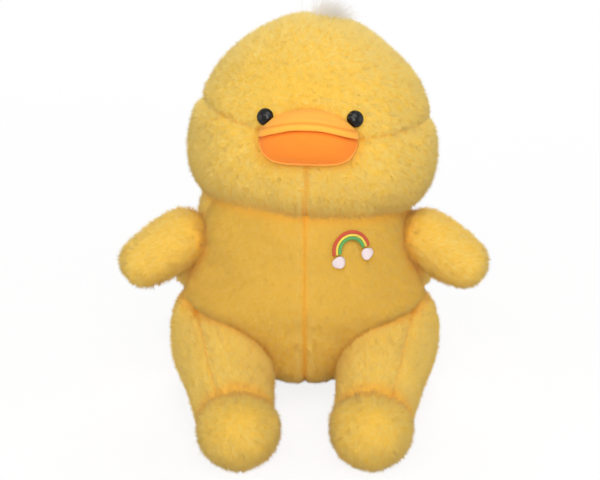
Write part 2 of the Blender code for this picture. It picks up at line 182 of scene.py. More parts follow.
def acrylic_pile(name, root, deep_tip, pale_tip, crease_shade, airy):
    """Root colour to tip colour along each fibre, with pale and deep fibres, painted light, and painted shade
    in creases and towards tan.
    """
    surface, tree = new_material(name)
    height = attribute(tree, "tip")
    seam_and_crease_shade = attribute(tree, "seam_and_crease_shade")
    tip_paleness = attribute(tree, "tip_paleness")
    # Tips are paler where this number is high: random pale fibres, with painted light and shade added. The
    # deeper root colour is painted shade deep in the pile.
    tip = blend_colours(tree, tip_paleness, to_linear(deep_tip), to_linear(pale_tip))
    fibre = blend_colours(tree, height, to_linear(root), tip)
    # Painted shade: where this number is high the colour is drawn towards a dull tan.
    shade_share = attribute(tree, "painted_shade")
    shaded_fibre = blend_colours(tree, shade_share, fibre, to_linear("D2A544"))
    # Painted shade along seams and where neighbouring parts meet, in a deeper orange.
    colour = blend_colours(tree, seam_and_crease_shade, shaded_fibre, to_linear(crease_shade))
    pile_way = add_node(tree, "ShaderNodeAttribute", attribute_name="pile_normal")
    turned = add_node(tree, "ShaderNodeVectorTransform", {"Vector": pile_way.outputs["Vector"]},
                      vector_type="NORMAL", convert_from="OBJECT", convert_to="WORLD")
    even_way = add_node(tree, "ShaderNodeVectorMath", {0: turned.outputs[0]}, operation="NORMALIZE")
    shader = add_node(tree, "ShaderNodeBsdfPrincipled", {
        "Base Color": colour, "Roughness": 0.85, "Specular IOR Level": 0.1, "Sheen Weight": 0.12,
        "Sheen Roughness": 0.5, "Sheen Tint": to_linear("FFF3C8"), "Normal": even_way.outputs[0]})
    passing = add_node(tree, "ShaderNodeBsdfTransparent", {"Color": to_linear("FFFFFF")})
    lit = ray_is(tree, "Is Shadow Ray", "Is Diffuse Ray")
    thin = add_node(tree, "ShaderNodeMath", {0: lit, 1: airy}, operation="MULTIPLY")
    glow = add_node(tree, "ShaderNodeBsdfTranslucent", {"Color": colour})
    solid = add_node(tree, "ShaderNodeMixShader", {0: 0.15, 1: shader.outputs["BSDF"],
                                                   2: glow.outputs["BSDF"]})
    fibres = add_node(tree, "ShaderNodeMixShader", {0: thin.outputs[0], 1: solid.outputs[0],
                                                    2: passing.outputs["BSDF"]})
    show(tree, fibres.outputs["Shader"])
    return surface


yellow_pile = acrylic_pile("acrylic_pile_yellow", "FCC84A", "FFD65A", "FFEB98", "F7AC38", 0.99)
knit_backing = acrylic_pile("acrylic_knit_backing", "FCC84A", "FFD85A", "FFEFA0", "F7AC38", 0.0)
print("Material:", yellow_pile.name)

# %% [markdown]
# ## Sizes
# The head, body, arms, legs and feet repeat the sizes of the CAD source, in metres. The bill, the eyes
# and the rainbow's bands were fitted to the photograph after it, so they differ from their solids by up
# to 6.4 mm. An egg is wide in the middle, and its powers above and below say how square its shoulders
# are.

# %% Forms
Egg = namedtuple("Egg", "half_width half_depth rise drop top_power bottom_power "
                 "taper swell swell_height swell_reach", defaults=(0, 0, 0, 1))
Limb = namedtuple("Limb", "root_radius tip_radius length swell")
head_egg = Egg(0.116, 0.095, 0.128, 0.0646, 1.85, 2.5)
body_egg = Egg(0.107, 0.088, 0.125, 0.1062, 3, 2.5, 0.3, 0.15, -0.014, 0.032)
foot_egg = Egg(0.0368, 0.0375, 0.0335, 0.0335, 2, 2)
bill_egg = Egg(0.0455, 0.0445, 0.0081, 0.0408, 2.2, 2.75)
arm_limb = Limb(0.0285, 0.0245, 0.043, 0.0022)
leg_limb = Limb(0.050, 0.0345, None, 0.0)       # its length follows from the hip and the ankle
pile_depth = 0.005          # the backing lies this far under the CAD surface
waist_height = 0.105        # of the body's widest level above the floor
body_core = (0, 0, 0.095)   # the body's cloth is drawn towards this point
parting = 0.0004            # half width of the bare line along a seam
seam_dip = 0.003            # the pile is shorter this near to a seam
seam_shade_width = 0.0020          # painted shade, a deeper orange, reaches this far from a seam
touch_shade_width = 0.004          # painted shade reaches this far from a neighbour too
far_away = 9.0              # more than any distance on the duck
arm_turns = (-10, 0, 10, 22, 35)
leg_turns = (0, 8, 16, 24, 32, 41, 50)
bill_droop = 0.0144
bill_height = 0.0465
bill_root = 0.070

head_matrix = (Matrix.Translation((0.0075, 0.006, 0.2286)) @ Matrix.Rotation(math.radians(3), 4, "Y")
               @ Matrix.Rotation(math.radians(-3.5), 4, "X")
               @ Matrix.Rotation(math.radians(-4), 4, "Z"))
body_matrix = Matrix.Translation((0, 0, waist_height))
bill_matrix = (head_matrix @ Matrix.Translation((-0.0013, -bill_root, bill_height))
               @ Matrix.Rotation(math.radians(-2.2), 4, "Y"))


def limb_matrix(joint, tip):
    """Frame at a joint, with its Z axis along the limb and its Y axis level with the floor."""
    along = (tip - joint).normalized()
    level = Vector((0, 0, 1)).cross(along).normalized()
    across = level.cross(along).normalized()
    return Matrix.Translation(joint) @ Matrix((across, level, along)).transposed().to_4x4()


arm_joint, arm_matrix, leg_joint, leg_matrix, foot_matrix = {}, {}, {}, {}, {}
for side_name, side in (("left", 1), ("right", -1)):
    droop, forward = math.radians(28), math.radians(20)
    arm_joint[side_name] = Vector((side * 0.112, -0.020, 0.152))
    arm_way = Vector((side * math.cos(droop) * math.cos(forward),
                      -math.cos(droop) * math.sin(forward), -math.sin(droop)))
    arm_matrix[side_name] = limb_matrix(arm_joint[side_name], arm_joint[side_name] + arm_way)
    leg_joint[side_name] = Vector((side * 0.079, -0.010, 0.0488))
    ankle = Vector((side * 0.061, -0.147, 0.0333))
    leg_length = (ankle - leg_joint[side_name]).length
    leg_matrix[side_name] = (limb_matrix(leg_joint[side_name], ankle)
                             @ Matrix.Rotation(side * math.radians(55), 4, "Z"))
    foot_matrix[side_name] = Matrix.Translation((side * 0.057, -0.176, 0.0323))
leg_limb = leg_limb._replace(length=leg_length)
print("Leg from hip to ankle:", round(leg_length * 1000, 1), "mm")

# %% [markdown]
# ## Measuring to a form
# Soft pieces press against each other. To keep two of them apart, and to know where the creases are,
# each form needs a function that says how far outside it a point is. The answer is exact on the
# surface and near enough close to it.

# %% Distance to a form


def bump(distance, width):
    """1 where the distance is nothing, and falling smoothly to nothing over the width."""
    return np.exp(-(distance / width) ** 2)


def near(distance, width):
    """1 where the distance is nothing or less, and falling smoothly to nothing over the width."""
    return bump(np.maximum(distance, 0), width)


def placed(points, matrix):
    """Points moved by a matrix."""
    m = np.array(matrix)
    return points @ m[:3, :3].T + m[:3, 3]


def egg_shape(form, height, most=1):
    """Share of the way to an egg's end, the power there, and how wide it is beside a plain egg."""
    above = height >= 0
    share = np.clip(np.abs(height) / np.where(above, form.rise, form.drop), 0, most)
    power = np.where(above, form.top_power, form.bottom_power)
    taper = np.where(above, 0, form.taper * np.minimum(share, 1))
    return share, power, 1 - taper + form.swell * bump(height - form.swell_height, form.swell_reach)


def egg_share(form, height):
    """Share of its full width that an egg has at each height."""
    share, power, wide = egg_shape(form, height)
    return (1 - share ** power) ** (1 / power) * wide


def outside_egg(form, matrix, points):
    """How far outside an egg each point is. Inside it is negative."""
    local = placed(points, matrix.inverted())
    share, power, wide = egg_shape(form, local[:, 2], 9)
    across = np.hypot(local[:, 0] / (form.half_width * wide), local[:, 1] / (form.half_depth * wide))
    reach = np.maximum((share ** power + across ** power) ** (1 / power), 1e-6)
    return np.linalg.norm(local, axis=1) * (1 - 1 / reach)


def outside_limb(limb, matrix, points):
    """How far outside a limb, which is a tapered rod with round ends, each point is."""
    local = placed(points, matrix.inverted())
    along = np.clip(local[:, 2] / limb.length, 0, 1)
    radius = limb.root_radius + (limb.tip_radius - limb.root_radius) * along
    radius = radius + limb.swell * np.sin(np.pi * along)
    centre = local - np.stack([0 * along, 0 * along, along * limb.length], axis=1)
    return np.linalg.norm(centre, axis=1) - radius


def outside_bill(points):
    """How far outside the bill each point is. The bend at its corners is undone first."""
    local = placed(points, bill_matrix.inverted())
    local[:, 2] += bill_droop * (local[:, 0] / bill_egg.half_width) ** 2
    return outside_egg(bill_egg, Matrix(), local)


def outside_turning(limb, matrix, joint, axis, angles, points):
    """How far outside a limb each point is, wherever the limb turns to."""
    nearest = np.full(len(points), far_away)
    for angle in angles:
        turn = (Matrix.Translation(joint) @ Matrix.Rotation(math.radians(angle), 4, axis)
                @ Matrix.Translation(-joint))
        nearest = np.minimum(nearest, outside_limb(limb, turn @ matrix, points))
    return nearest


def thigh_fullness(points, name, side):
    """How much fuller a thigh is round its outer side, so that it meets the hip. It is the same all
    the way round the hip's axis, so turning the leg changes nothing."""
    outer = side * (points[:, 0] - leg_joint[name].x)
    return 0.009 * bump(outer - 0.036, 0.013)


def outside_limbs(points):
    """How far outside both arms and both legs each point is, over the limbs' whole range."""
    nearest = np.full(len(points), far_away)
    for name, sign in (("left", 1), ("right", -1)):
        arm = outside_turning(arm_limb, arm_matrix[name], arm_joint[name], Vector((0, -sign, 0)),
                              arm_turns, points)
        leg = outside_turning(leg_limb, leg_matrix[name], leg_joint[name], Vector((1, 0, 0)),
                              leg_turns, points) - thigh_fullness(points, name, sign)
        nearest = np.minimum(nearest, np.minimum(arm, leg))
    return nearest


probe = np.array([[0, -0.2, 0.3], [0, 0, 0.25]])
print("Two points from the head, in mm:", (outside_egg(head_egg, head_matrix, probe) * 1000).round(1))

# %% [markdown]
# ## Uneven by nature
# Hand filled forms are never perfectly even, and pile lies in small locks. A sum of waves in random
# directions gives a smooth uneven value at any point, the same on every run, because it is seeded.

# %% Uneven values


def uneven(points, wavelength, seed, waves=10):
    """A smooth value at each point, mostly from -1 to 1, that changes over about one wavelength."""
    dice = np.random.default_rng(seed)
    total = np.zeros(len(points))
    for _ in range(waves):
        direction = dice.normal(size=3)
        direction /= np.linalg.norm(direction)
        turns = 2 * np.pi / (wavelength * dice.uniform(0.75, 1.35))
        total += np.sin(points @ direction * turns + dice.uniform(0, 2 * np.pi))
    return total / math.sqrt(waves / 2)


print("Uneven value at the origin:", uneven(np.zeros((1, 3)), 0.05, 1).round(2))

# %% [markdown]
# ## Cutting the panels
# A plush form is sewn from panels. Here the whole form is made as rings of points, its grooves are
# pressed in, and then it is cut along the planes of its seams, so that neighbouring panels always
# meet. Each panel gets the thickness of its cloth.

# %% Rings and panels


def ring_rows(widths, depths, heights, around):
    """Rings of points, each with its half width, half depth and height."""
    turn = np.linspace(0, 2 * np.pi, around, endpoint=False)
    x = np.outer(widths, np.cos(turn))
    y = np.outer(depths, np.sin(turn))
    return np.stack([x, y, np.repeat(heights[:, None], around, axis=1)], axis=2)


def egg_rings(form, rings, around):
    """Rings of points from the bottom of an egg to its top."""
    angle = np.linspace(-np.pi / 2, np.pi / 2, rings + 1)
    power = np.where(angle >= 0, form.top_power, form.bottom_power)
    limit = np.where(angle >= 0, form.rise, form.drop)
    height = np.sign(angle) * limit * np.abs(np.sin(angle)) ** (2 / power)
    share = egg_share(form, height)
    share[[0, -1]] = 0
    return ring_rows(share * form.half_width, share * form.half_depth, height, around)


def limb_rings(limb, grow, rings, around):
    """Rings of points from the round root of a limb to its round tip."""
    root, tip = limb.root_radius + grow, limb.tip_radius + grow
    along = np.linspace(-root, limb.length + tip, 400)
    inside = np.clip(along / limb.length, 0, 1)
    radius = root + (tip - root) * inside + limb.swell * np.sin(np.pi * inside)
    over = np.where(along < 0, along, np.maximum(along - limb.length, 0))
    radius = np.sqrt(np.maximum(radius ** 2 - over ** 2, 0))
    step = np.hypot(np.diff(along), np.diff(radius))
    walked = np.concatenate([[0], np.cumsum(step)])
    even = np.linspace(0, walked[-1], rings + 1)
    height = np.interp(even, walked, along)
    radius = np.interp(even, walked, radius)
    radius[[0, -1]] = 0
    return ring_rows(radius, radius, height, around)


def closed_form(rows):
    """A closed mesh over rings of points."""
    bm = bmesh.new()
    rings, around = rows.shape[:2]
    verts = [bm.verts.new(point) for point in rows.reshape(-1, 3)]
    for ring in range(rings - 1):
        for step in range(around):
            beside = (step + 1) % around
            low, high = ring * around, (ring + 1) * around
            bm.faces.new([verts[low + step], verts[low + beside], verts[high + beside],
                          verts[high + step]])
    bmesh.ops.remove_doubles(bm, verts=bm.verts, dist=1e-6)
    bm.normal_update()
    return bm


def read_points(bm):
    return np.array([vert.co for vert in bm.verts])


def press(bm, depth):
    """Moves each vertex inwards by its own depth."""
    for vert, amount in zip(bm.verts, depth):
        vert.co -= vert.normal * float(amount)
    bm.normal_update()


def make_room(bm, outside, target, margin, steps=48):
    """Draws the vertices that are inside a neighbour towards a target, until they are clear of it."""
    start = read_points(bm)
    goal = np.broadcast_to(np.array(target, float), start.shape)
    here = outside(start) - margin
    waiting = here < 0
    moved = start.copy()
    before, last = here.copy(), np.zeros(len(start))
    for step in range(1, steps + 1):
        if not waiting.any():
            break
        share = step / steps
        now = np.full(len(start), far_away)
        rows = np.where(waiting)[0]
        now[rows] = outside(start[rows] + (goal[rows] - start[rows]) * share) - margin
        clear = waiting & (now >= 0)
        gap = np.where(clear, -before / np.maximum(now - before, 1e-9), 0)
        exact = last + (share - last) * np.clip(gap, 0, 1)
        moved[clear] = start[clear] + (goal[clear] - start[clear]) * exact[clear, None]
        waiting &= ~clear
        before = np.where(waiting, now, before)
        last = np.where(waiting, share, last)
    moved[waiting] = goal[waiting]
    for vert, point in zip(bm.verts, moved):
        vert.co = point
    bm.normal_update()


def cut(bm, planes):
    """A copy of a form, cut down to what lies on the positive side of each plane."""
    part = bm.copy()
    for point, normal in planes:
        everything = part.verts[:] + part.edges[:] + part.faces[:]
        bmesh.ops.bisect_plane(part, geom=everything, plane_co=point, plane_no=normal,
                               clear_inner=True, dist=1e-6)
    part.normal_update()
    return part


def plane(matrix, axis, limit, keep_above=True):
    """A cutting plane across one axis of a frame."""
    direction = Vector([0, 0, 0])
    direction[axis] = 1
    point = matrix @ (direction * limit)
    normal = matrix.to_3x3() @ direction
    return point, normal if keep_above else -normal


test_form = closed_form(egg_rings(foot_egg, 12, 24))
print("A foot of 12 rings has", len(test_form.faces), "faces")
test_form.free()

# %% [markdown]
# ## Growing the pile
# Hair strands look right in a render but don't count as pieces, so the pile here is real mesh: slim
# pointed blades. A blade stands for a few fibres that cling together, about 0.6 mm wide at its foot. Its
# root is on the cloth, and its tip leans with the nap. Neighbouring tips are drawn the same way by the
# uneven field, and that is what makes locks and partings. Each blade is shaded with the cloth's own
# normal, tilted a little by its lock, so that the pile looks soft and not like straw.

# %% Pile
lock_size = 0.008
tuft_spacing = 0.00062
most_triangles = 196000


def on_triangles(bm, spacing, dice):
    """Even random places on a mesh, with the surface's normal at each."""
    loops = bm.calc_loop_triangles()
    corners = np.array([[loop.vert.co for loop in triangle] for triangle in loops])
    normals = np.array([[loop.vert.normal for loop in triangle] for triangle in loops])
    area = np.linalg.norm(np.cross(corners[:, 1] - corners[:, 0], corners[:, 2] - corners[:, 0]),
                          axis=1) / 2
    count = int(area.sum() / spacing ** 2)
    marks = (np.arange(count) + dice.uniform(size=count)) / count * area.sum()
    chosen = np.minimum(np.searchsorted(np.cumsum(area), marks), len(area) - 1)
    one, two = dice.uniform(size=(2, count))
    flip = one + two > 1
    one[flip], two[flip] = 1 - one[flip], 1 - two[flip]
    weights = np.stack([1 - one - two, one, two], axis=1)[:, :, None]
    points = (corners[chosen] * weights).sum(axis=1)
    normal = (normals[chosen] * weights).sum(axis=1)
    return points, normal / np.linalg.norm(normal, axis=1)[:, None]


def unit(vectors):
    return vectors / np.maximum(np.linalg.norm(vectors, axis=1), 1e-9)[:, None]


def tuft_mesh(roots, normals, lean, length, width, dice):
    """Points and triangles of one leaning, pointed blade at each root, with its face outwards."""
    count = len(roots)
    way = unit(normals + lean)
    across = unit(np.cross(way, normals + 0.5 * dice.normal(size=(count, 3)))) * width[:, None]
    points = np.stack([roots - across, roots + across, roots + way * length[:, None]], axis=1)
    face = np.cross(points[:, 1] - points[:, 0], points[:, 2] - points[:, 0])
    inwards = (face * normals).sum(axis=1) < 0
    points[inwards] = points[inwards][:, [1, 0, 2]]
    return points.reshape(-1, 3), np.arange(3 * count).reshape(-1, 3), np.tile([0, 0, 1.0], count)


def triangle_mesh(name, points, triangles, values):
    """A mesh straight from arrays, with one number of each kind at each vertex."""
    mesh = bpy.data.meshes.new(name)
    mesh.vertices.add(len(points))
    mesh.vertices.foreach_set("co", points.astype(np.float32).ravel())
    mesh.loops.add(triangles.size)
    mesh.loops.foreach_set("vertex_index", triangles.astype(np.int32).ravel())
    mesh.polygons.add(len(triangles))
    mesh.polygons.foreach_set("loop_start", np.arange(0, triangles.size, 3, dtype=np.int32))
    for kind, numbers in values.items():
        numbers = np.asarray(numbers, np.float32)
        if numbers.ndim == 1:
            mesh.attributes.new(kind, "FLOAT", "POINT").data.foreach_set("value", numbers)
        else:
            spot = mesh.attributes.new(kind, "FLOAT_VECTOR", "POINT")
            spot.data.foreach_set("vector", numbers.ravel())
    mesh.update(calc_edges=True)
    mesh.shade_smooth()
    return mesh


print("Blades are", tuft_spacing * 1000, "mm apart")

# %% [markdown]
# ## A plush panel
# Each panel is one piece: the cloth, with its thickness, and the pile on it. The same measuring
# functions say where the pile is short, because a neighbour lies on it, and where it is missing,
# because a seam parts it or an eye, the bill or a patch of thread covers it.

# %% Plush panels
cloth_thickness = 0.0016
pile_length = 0.0068
tuft_width = 0.0003         # half of a blade's width at its foot
lock_stir, fine_stir, stray = 0.35, 0.4, 0.22       # how far locks, wisps and single fibres lean
shortest_pile = 0.12        # share of the full length under which no blade is made
floor_gap = 0.0003
small_lumps = 0.0006        # on limbs and feet


def plush_panel(name, bm, node, body, seed, look):
    """Cloth and pile in one piece, riding on its body and standing for its CAD panel."""
    dice = np.random.default_rng(seed)
    roots, normals = on_triangles(bm, tuft_spacing, dice)
    nap = look(roots, normals)
    rows = np.where(nap["full"] > shortest_pile)[0]
    most = most_triangles - 4 * len(bm.faces)
    if len(rows) > most:
        rows = np.sort(dice.permutation(rows)[:most])
    roots, normals = roots[rows], normals[rows]
    full, seam_and_crease_shade, comb, light, ruffle, painted_shade = (nap[kind][rows]
                                            for kind in ("full", "seam_and_crease_shade", "comb", "light", "ruffle", "painted_shade"))
    lock = np.stack([uneven(roots, lock_size, number) for number in (1, 2, 3)], axis=1)
    fine = np.stack([uneven(roots, lock_size * 0.4, number) for number in (4, 5, 6)], axis=1)
    stir = (lock * lock_stir + fine * fine_stir) * ruffle[:, None]
    lean = comb + stir + dice.normal(size=roots.shape) * stray
    lean = lean - normals * (lean * normals).sum(axis=1)[:, None]
    long = pile_length * full * dice.uniform(0.75, 1.15, len(roots)) * (1 + 0.12 * fine[:, 0])
    wide = tuft_width * dice.uniform(0.7, 1.2, len(roots))
    points, triangles, height = tuft_mesh(roots, normals, lean, long, wide, dice)
    shown = unit(normals + 0.5 * stir + 0.12 * dice.normal(size=roots.shape))
    # Random pale and deep fibres, with the look's painted light and shade added to them.
    paleness_and_painted_light = 0.5 + 0.16 * fine[:, 1] + 0.12 * lock[:, 0] + 0.14 * dice.normal(size=len(roots)) + light

    cloth = bm.copy()
    bmesh.ops.solidify(cloth, geom=cloth.faces[:], thickness=cloth_thickness)
    bmesh.ops.triangulate(cloth, faces=cloth.faces[:])
    cloth.verts.index_update()
    cloth_points = read_points(cloth)
    cloth_triangles = np.array([[vert.index for vert in face.verts] for face in cloth.faces])
    cloth_normals = np.array([vert.normal for vert in cloth.verts])
    on_cloth = look(cloth_points, cloth_normals)
    cloth.free()
    shown = np.concatenate([cloth_normals, np.repeat(shown, 3, axis=0)])
    values = {
        "tip": np.concatenate([np.full(len(cloth_points), 0.1), height]),
        "seam_and_crease_shade": np.concatenate([on_cloth["seam_and_crease_shade"], np.repeat(seam_and_crease_shade, 3)]),
        "painted_shade": np.concatenate([on_cloth["painted_shade"], np.repeat(painted_shade, 3)]),
        "tip_paleness": np.clip(np.concatenate([np.full(len(cloth_points), 0.4), np.repeat(paleness_and_painted_light, 3)]), 0, 1),
        "pile_normal": shown,
        "custom_normal": shown,
    }
    points = np.concatenate([cloth_points, points])
    points[:, 2] = np.maximum(points[:, 2], floor_gap)
    triangles = np.concatenate([cloth_triangles, triangles + len(cloth_points)])
    mesh = triangle_mesh(name, points, triangles, values)
    mesh.materials.append(yellow_pile)
    mesh.materials.append(knit_backing)
    backing = np.zeros(len(mesh.polygons), np.int32)
    backing[:len(cloth_triangles)] = 1
    mesh.polygons.foreach_set("material_index", backing)
    panel = add_object(name, mesh)
    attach(panel, body)
    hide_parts(node)
    print(f"{name}: {len(roots)} blades, {len(mesh.polygons)} triangles")
    return panel


def fixed_direction(vector, points):
    return np.tile(np.array(vector, float), (len(points), 1))


def pile_look(full, seam_and_crease_shade, comb, light, ruffle, painted_shade):
    """What a look function gives back. A single number stands for all the points."""
    # light is painted light and shade, added to how pale the fibres' tips are.
    spread = {kind: np.broadcast_to(value, len(full))
              for kind, value in (("light", light), ("ruffle", ruffle), ("painted_shade", painted_shade))}
    return {"full": full, "seam_and_crease_shade": np.clip(seam_and_crease_shade, 0, 1), "comb": comb, **spread}


# %% [markdown]
# ## Head
# The head is one big egg, wide at the cheeks. Its seams pull grooves into it: across the face at eye
# height, down the chin, and round the back. The face seam is deepest at the sides, where the cheeks
# bulge over it, and shallow beside the bill.

# %% Head form
face_seam = 0.036
back_seam = 0.012
washer_cover = 0.0040        # a washer lies 5 mm under the surface, and the cloth is in front of it
eye_side = 0.0393
eye_clear = 0.0064          # the pile stops this far from an eye's middle
eye_heights = {1: 0.0484, -1: 0.0454}


def seam_rise(side):
    """How much the face seam climbs from the bill towards the cheek."""
    return 0.0125 * (side / 0.11) ** 2 - 0.0061 - 0.028 * side


def slide_seam(bm, sign):
    """Slides the head's points along its height, so that the curved face seam is a flat cut."""
    for vert in bm.verts:
        vert.co.z += sign * seam_rise(vert.co.x)
    bm.normal_update()


def surface_point(form, side, height):
    """A point on the front of an egg."""
    share = float(egg_share(form, np.array([height]))[0])
    across = side / (form.half_width * share)
    return Vector((side, -form.half_depth * share * math.sqrt(1 - across ** 2), height))


def surface_direction(form, place):
    """Outward direction at a point on the front of an egg."""
    step = 0.001
    sideways = surface_point(form, place.x + step, place.z) - place
    upwards = surface_point(form, place.x, place.z + step) - place
    normal = sideways.cross(upwards).normalized()
    return normal if normal.y < 0 else -normal


eye_places = [surface_point(head_egg, side * eye_side, eye_heights[side]) for side in (1, -1)]
head_form = closed_form(egg_rings(head_egg, 100, 170))
spots = read_points(head_form)
front = spots[:, 1] < back_seam
outward = np.clip(np.abs(spots[:, 0]) / 0.10, 0, 1)
to_face_seam = spots[:, 2] - seam_rise(spots[:, 0]) - face_seam
seam_depth = (0.0018 + 0.0052 * outward ** 2) * bump(to_face_seam, 0.0050) * front
chin_depth = 0.0018 * bump(spots[:, 0], 0.0028) * (spots[:, 1] < 0) * (to_face_seam < 0)
back_depth = 0.0022 * bump(spots[:, 1] - back_seam, 0.004)
spine_depth = 0.0022 * bump(spots[:, 0], 0.0035) * (spots[:, 1] > back_seam)
from_eyes = np.min([np.linalg.norm(spots - np.array(place), axis=1) for place in eye_places], axis=0)
by_washer = np.clip((0.0165 - from_eyes) / 0.006, 0, 1)
lumps = 0.0007 * uneven(spots, 0.05, 11)
head_depth = pile_depth + seam_depth + chin_depth + back_depth + spine_depth + lumps
press(head_form, head_depth + (washer_cover - head_depth) * by_washer)
slide_seam(head_form, -1)
print("Head:", len(head_form.faces), "faces")

# %% Head panels


def head_look(points, normals):
    """How full the pile is, how much painted shade and painted light it has, and which way it is combed,
    anywhere on the head.
    """
    local = placed(points, head_matrix.inverted())
    front = local[:, 1] < back_seam
    to_face = np.where(front, np.abs(local[:, 2] - seam_rise(local[:, 0]) - face_seam), 1)
    chin = (local[:, 1] < 0) & (local[:, 2] < face_seam)
    to_chin = np.where(chin, np.abs(local[:, 0]), 1)
    to_back = np.abs(local[:, 1] - back_seam)
    to_spine = np.where(front, 1, np.abs(local[:, 0]))
    to_seam = np.minimum(np.minimum(to_face, to_chin), np.minimum(to_back, to_spine))
    fullness = 1 - 0.45 * bump(to_seam, seam_dip)
    fullness[to_seam < parting] = 0
    to_bill = outside_bill(points)
    fullness[to_bill < -0.002] = 0
    fullness *= 1 - 0.35 * near(to_bill, 0.005)
    for place in eye_places:
        from_eye = np.linalg.norm(local - np.array(place), axis=1)
        fullness[from_eye < eye_clear] = 0
        fullness *= 1 - 0.3 * near(from_eye - eye_clear, 0.003)
    to_body = outside_egg(body_egg, body_matrix, points)
    fullness[to_body < -0.008] = 0
    # Painted shade along the seams and where the bill and the body meet the head.
    seam_and_crease_shade = 0.6 * bump(to_seam, seam_shade_width) + 0.5 * near(to_bill, touch_shade_width)
    seam_and_crease_shade += 0.3 * near(to_body, touch_shade_width)
    comb = fixed_direction((0, -0.15, -0.5), points)
    away = np.sign(local[:, 0])[:, None] * np.array([[1, 0, 0]])
    comb = comb + away * (0.5 * bump(to_chin, 0.005))[:, None]
    # Painted light: paler bands beside the chin seam, paler towards the crown and towards the bottom of the
    # head. Painted shade: deeper over the forehead, a little to the duck's right.
    light = 0.3 * bump(to_chin - 0.005, 0.003) + 0.45 * np.clip((local[:, 2] - 0.075) / 0.045, 0, 1)
    light += 0.3 * np.clip((-local[:, 2] - 0.005) / 0.035, 0, 1) + 0.06
    from_brow = np.hypot(local[:, 0] + 0.012, 1.2 * (local[:, 2] - 0.078))
    light -= 0.36 * bump(from_brow, 0.045) * (local[:, 1] < 0)
    # Painted shade, deeper towards the bottom of the face.
    painted_shade = 0.35 * np.clip((-local[:, 2] + 0.005) / 0.035, 0, 1) * (local[:, 1] < 0)
    return pile_look(fullness, seam_and_crease_shade, comb, light, 0.9, painted_shade)


head_cuts = {
    "head_crown": [(2, face_seam, True), (1, back_seam, False)],
    "cheek_left": [(2, face_seam, False), (1, back_seam, False), (0, 0, True)],
    "cheek_right": [(2, face_seam, False), (1, back_seam, False), (0, 0, False)],
    "head_back_left": [(1, back_seam, True), (0, 0, True)],
    "head_back_right": [(1, back_seam, True), (0, 0, False)],
}
for number, (node, cuts) in enumerate(head_cuts.items()):
    panel_form = cut(head_form, [plane(Matrix(), *each) for each in cuts])
    slide_seam(panel_form, 1)
    panel_form.transform(head_matrix)
    panel_form.normal_update()
    plush_panel(f"{node}_plush", panel_form, node, "torso", 100 + number, head_look)
    panel_form.free()

# %% [markdown]
# ## Body
# The body is fuller at the hips than at the shoulders. The head, the arms and the legs press into it,
# so its cloth is drawn in wherever one of them lies or turns.

# %% Body form
side_seam = -0.024
limb_closeness = 0.0030      # the body's cloth may lie this deep in a limb's pile
seat_height = 0.014 - waist_height
rainbow_radius, rainbow_inside = 0.0182, 0.0098
rainbow_side, rainbow_height, rainbow_turn = 0.0425, 0.160 - waist_height, math.radians(10)
cloud_radius, cloud_drop = 0.0060, 0.0072
cloud_middle = (rainbow_radius + rainbow_inside) / 2
rainbow_place = surface_point(body_egg, rainbow_side, rainbow_height)
chest_way = surface_direction(body_egg, rainbow_place).to_track_quat("Z", "Y").to_matrix().to_4x4()
rainbow_matrix = (body_matrix @ Matrix.Translation(rainbow_place) @ chest_way
                  @ Matrix.Rotation(rainbow_turn, 4, "Z"))


def outside_stitches(points):
    """How far the body's pile is from the rainbow and its clouds, measured flat on the chest."""
    flat = placed(points, rainbow_matrix.inverted())
    reach = np.hypot(flat[:, 0], flat[:, 1])
    arc = np.maximum(reach - rainbow_radius, rainbow_inside - reach)
    arc = np.where(flat[:, 1] > 0, arc, 1)
    cloud = np.hypot(np.abs(flat[:, 0]) - cloud_middle, flat[:, 1] + cloud_drop) - cloud_radius
    return np.where(np.abs(flat[:, 2]) < 0.03, np.minimum(arc, cloud), 1)


def resting(form, matrices, points):
    """How far outside a pair of limbs each point is, with the limbs at rest."""
    return np.minimum(*(outside_limb(form, matrices[name], points) for name in ("left", "right")))


def outside_neighbours(points):
    return np.minimum(outside_limbs(points), outside_egg(head_egg, head_matrix, points) + 0.003)


body_form = closed_form(egg_rings(body_egg, 90, 150))
spots = read_points(body_form)
belly_depth = 0.0016 * bump(spots[:, 0], 0.0028) * (spots[:, 1] < side_seam)
side_depth = 0.0030 * bump(spots[:, 1] - side_seam, 0.0045)
spine_depth = 0.0022 * bump(spots[:, 0], 0.0035) * (spots[:, 1] > side_seam)
seat_depth = 0.0015 * bump(spots[:, 2] - seat_height, 0.003)
lumps = 0.0008 * uneven(spots, 0.05, 12)
press(body_form, pile_depth + belly_depth + side_depth + spine_depth + seat_depth + lumps)
above_seat = np.clip((spots[:, 2] + 0.100) / 0.03, 0, 1)
paunch = 0.0212 * bump(spots[:, 2] + 0.070, 0.037) * above_seat ** 2 * (3 - 2 * above_seat)
paunch = (paunch + 0.0030 * bump(spots[:, 2] - 0.030, 0.020)) * bump(spots[:, 0], 0.060)
for vert, amount in zip(body_form.verts, paunch * np.clip(-spots[:, 1] / 0.03, 0, 1)):
    vert.co.y -= float(amount)
hips = 0.004 * bump(spots[:, 2] + 0.010, 0.020) * np.clip((np.abs(spots[:, 0]) - 0.06) / 0.04, 0, 1)
for vert, amount in zip(body_form.verts, hips * np.sign(spots[:, 0])):
    vert.co.x += float(amount)
body_form.transform(body_matrix)
make_room(body_form, outside_neighbours, body_core, -limb_closeness)
close = outside_limbs(read_points(body_form)) < 0.010
for _ in range(8):
    bmesh.ops.smooth_vert(body_form, verts=[vert for vert, pressed in zip(body_form.verts, close) if pressed],
                          factor=0.5, use_axis_x=True, use_axis_y=True, use_axis_z=True)
make_room(body_form, outside_neighbours, body_core, -limb_closeness)
print("Body:", len(body_form.faces), "faces")

# %% Body panels


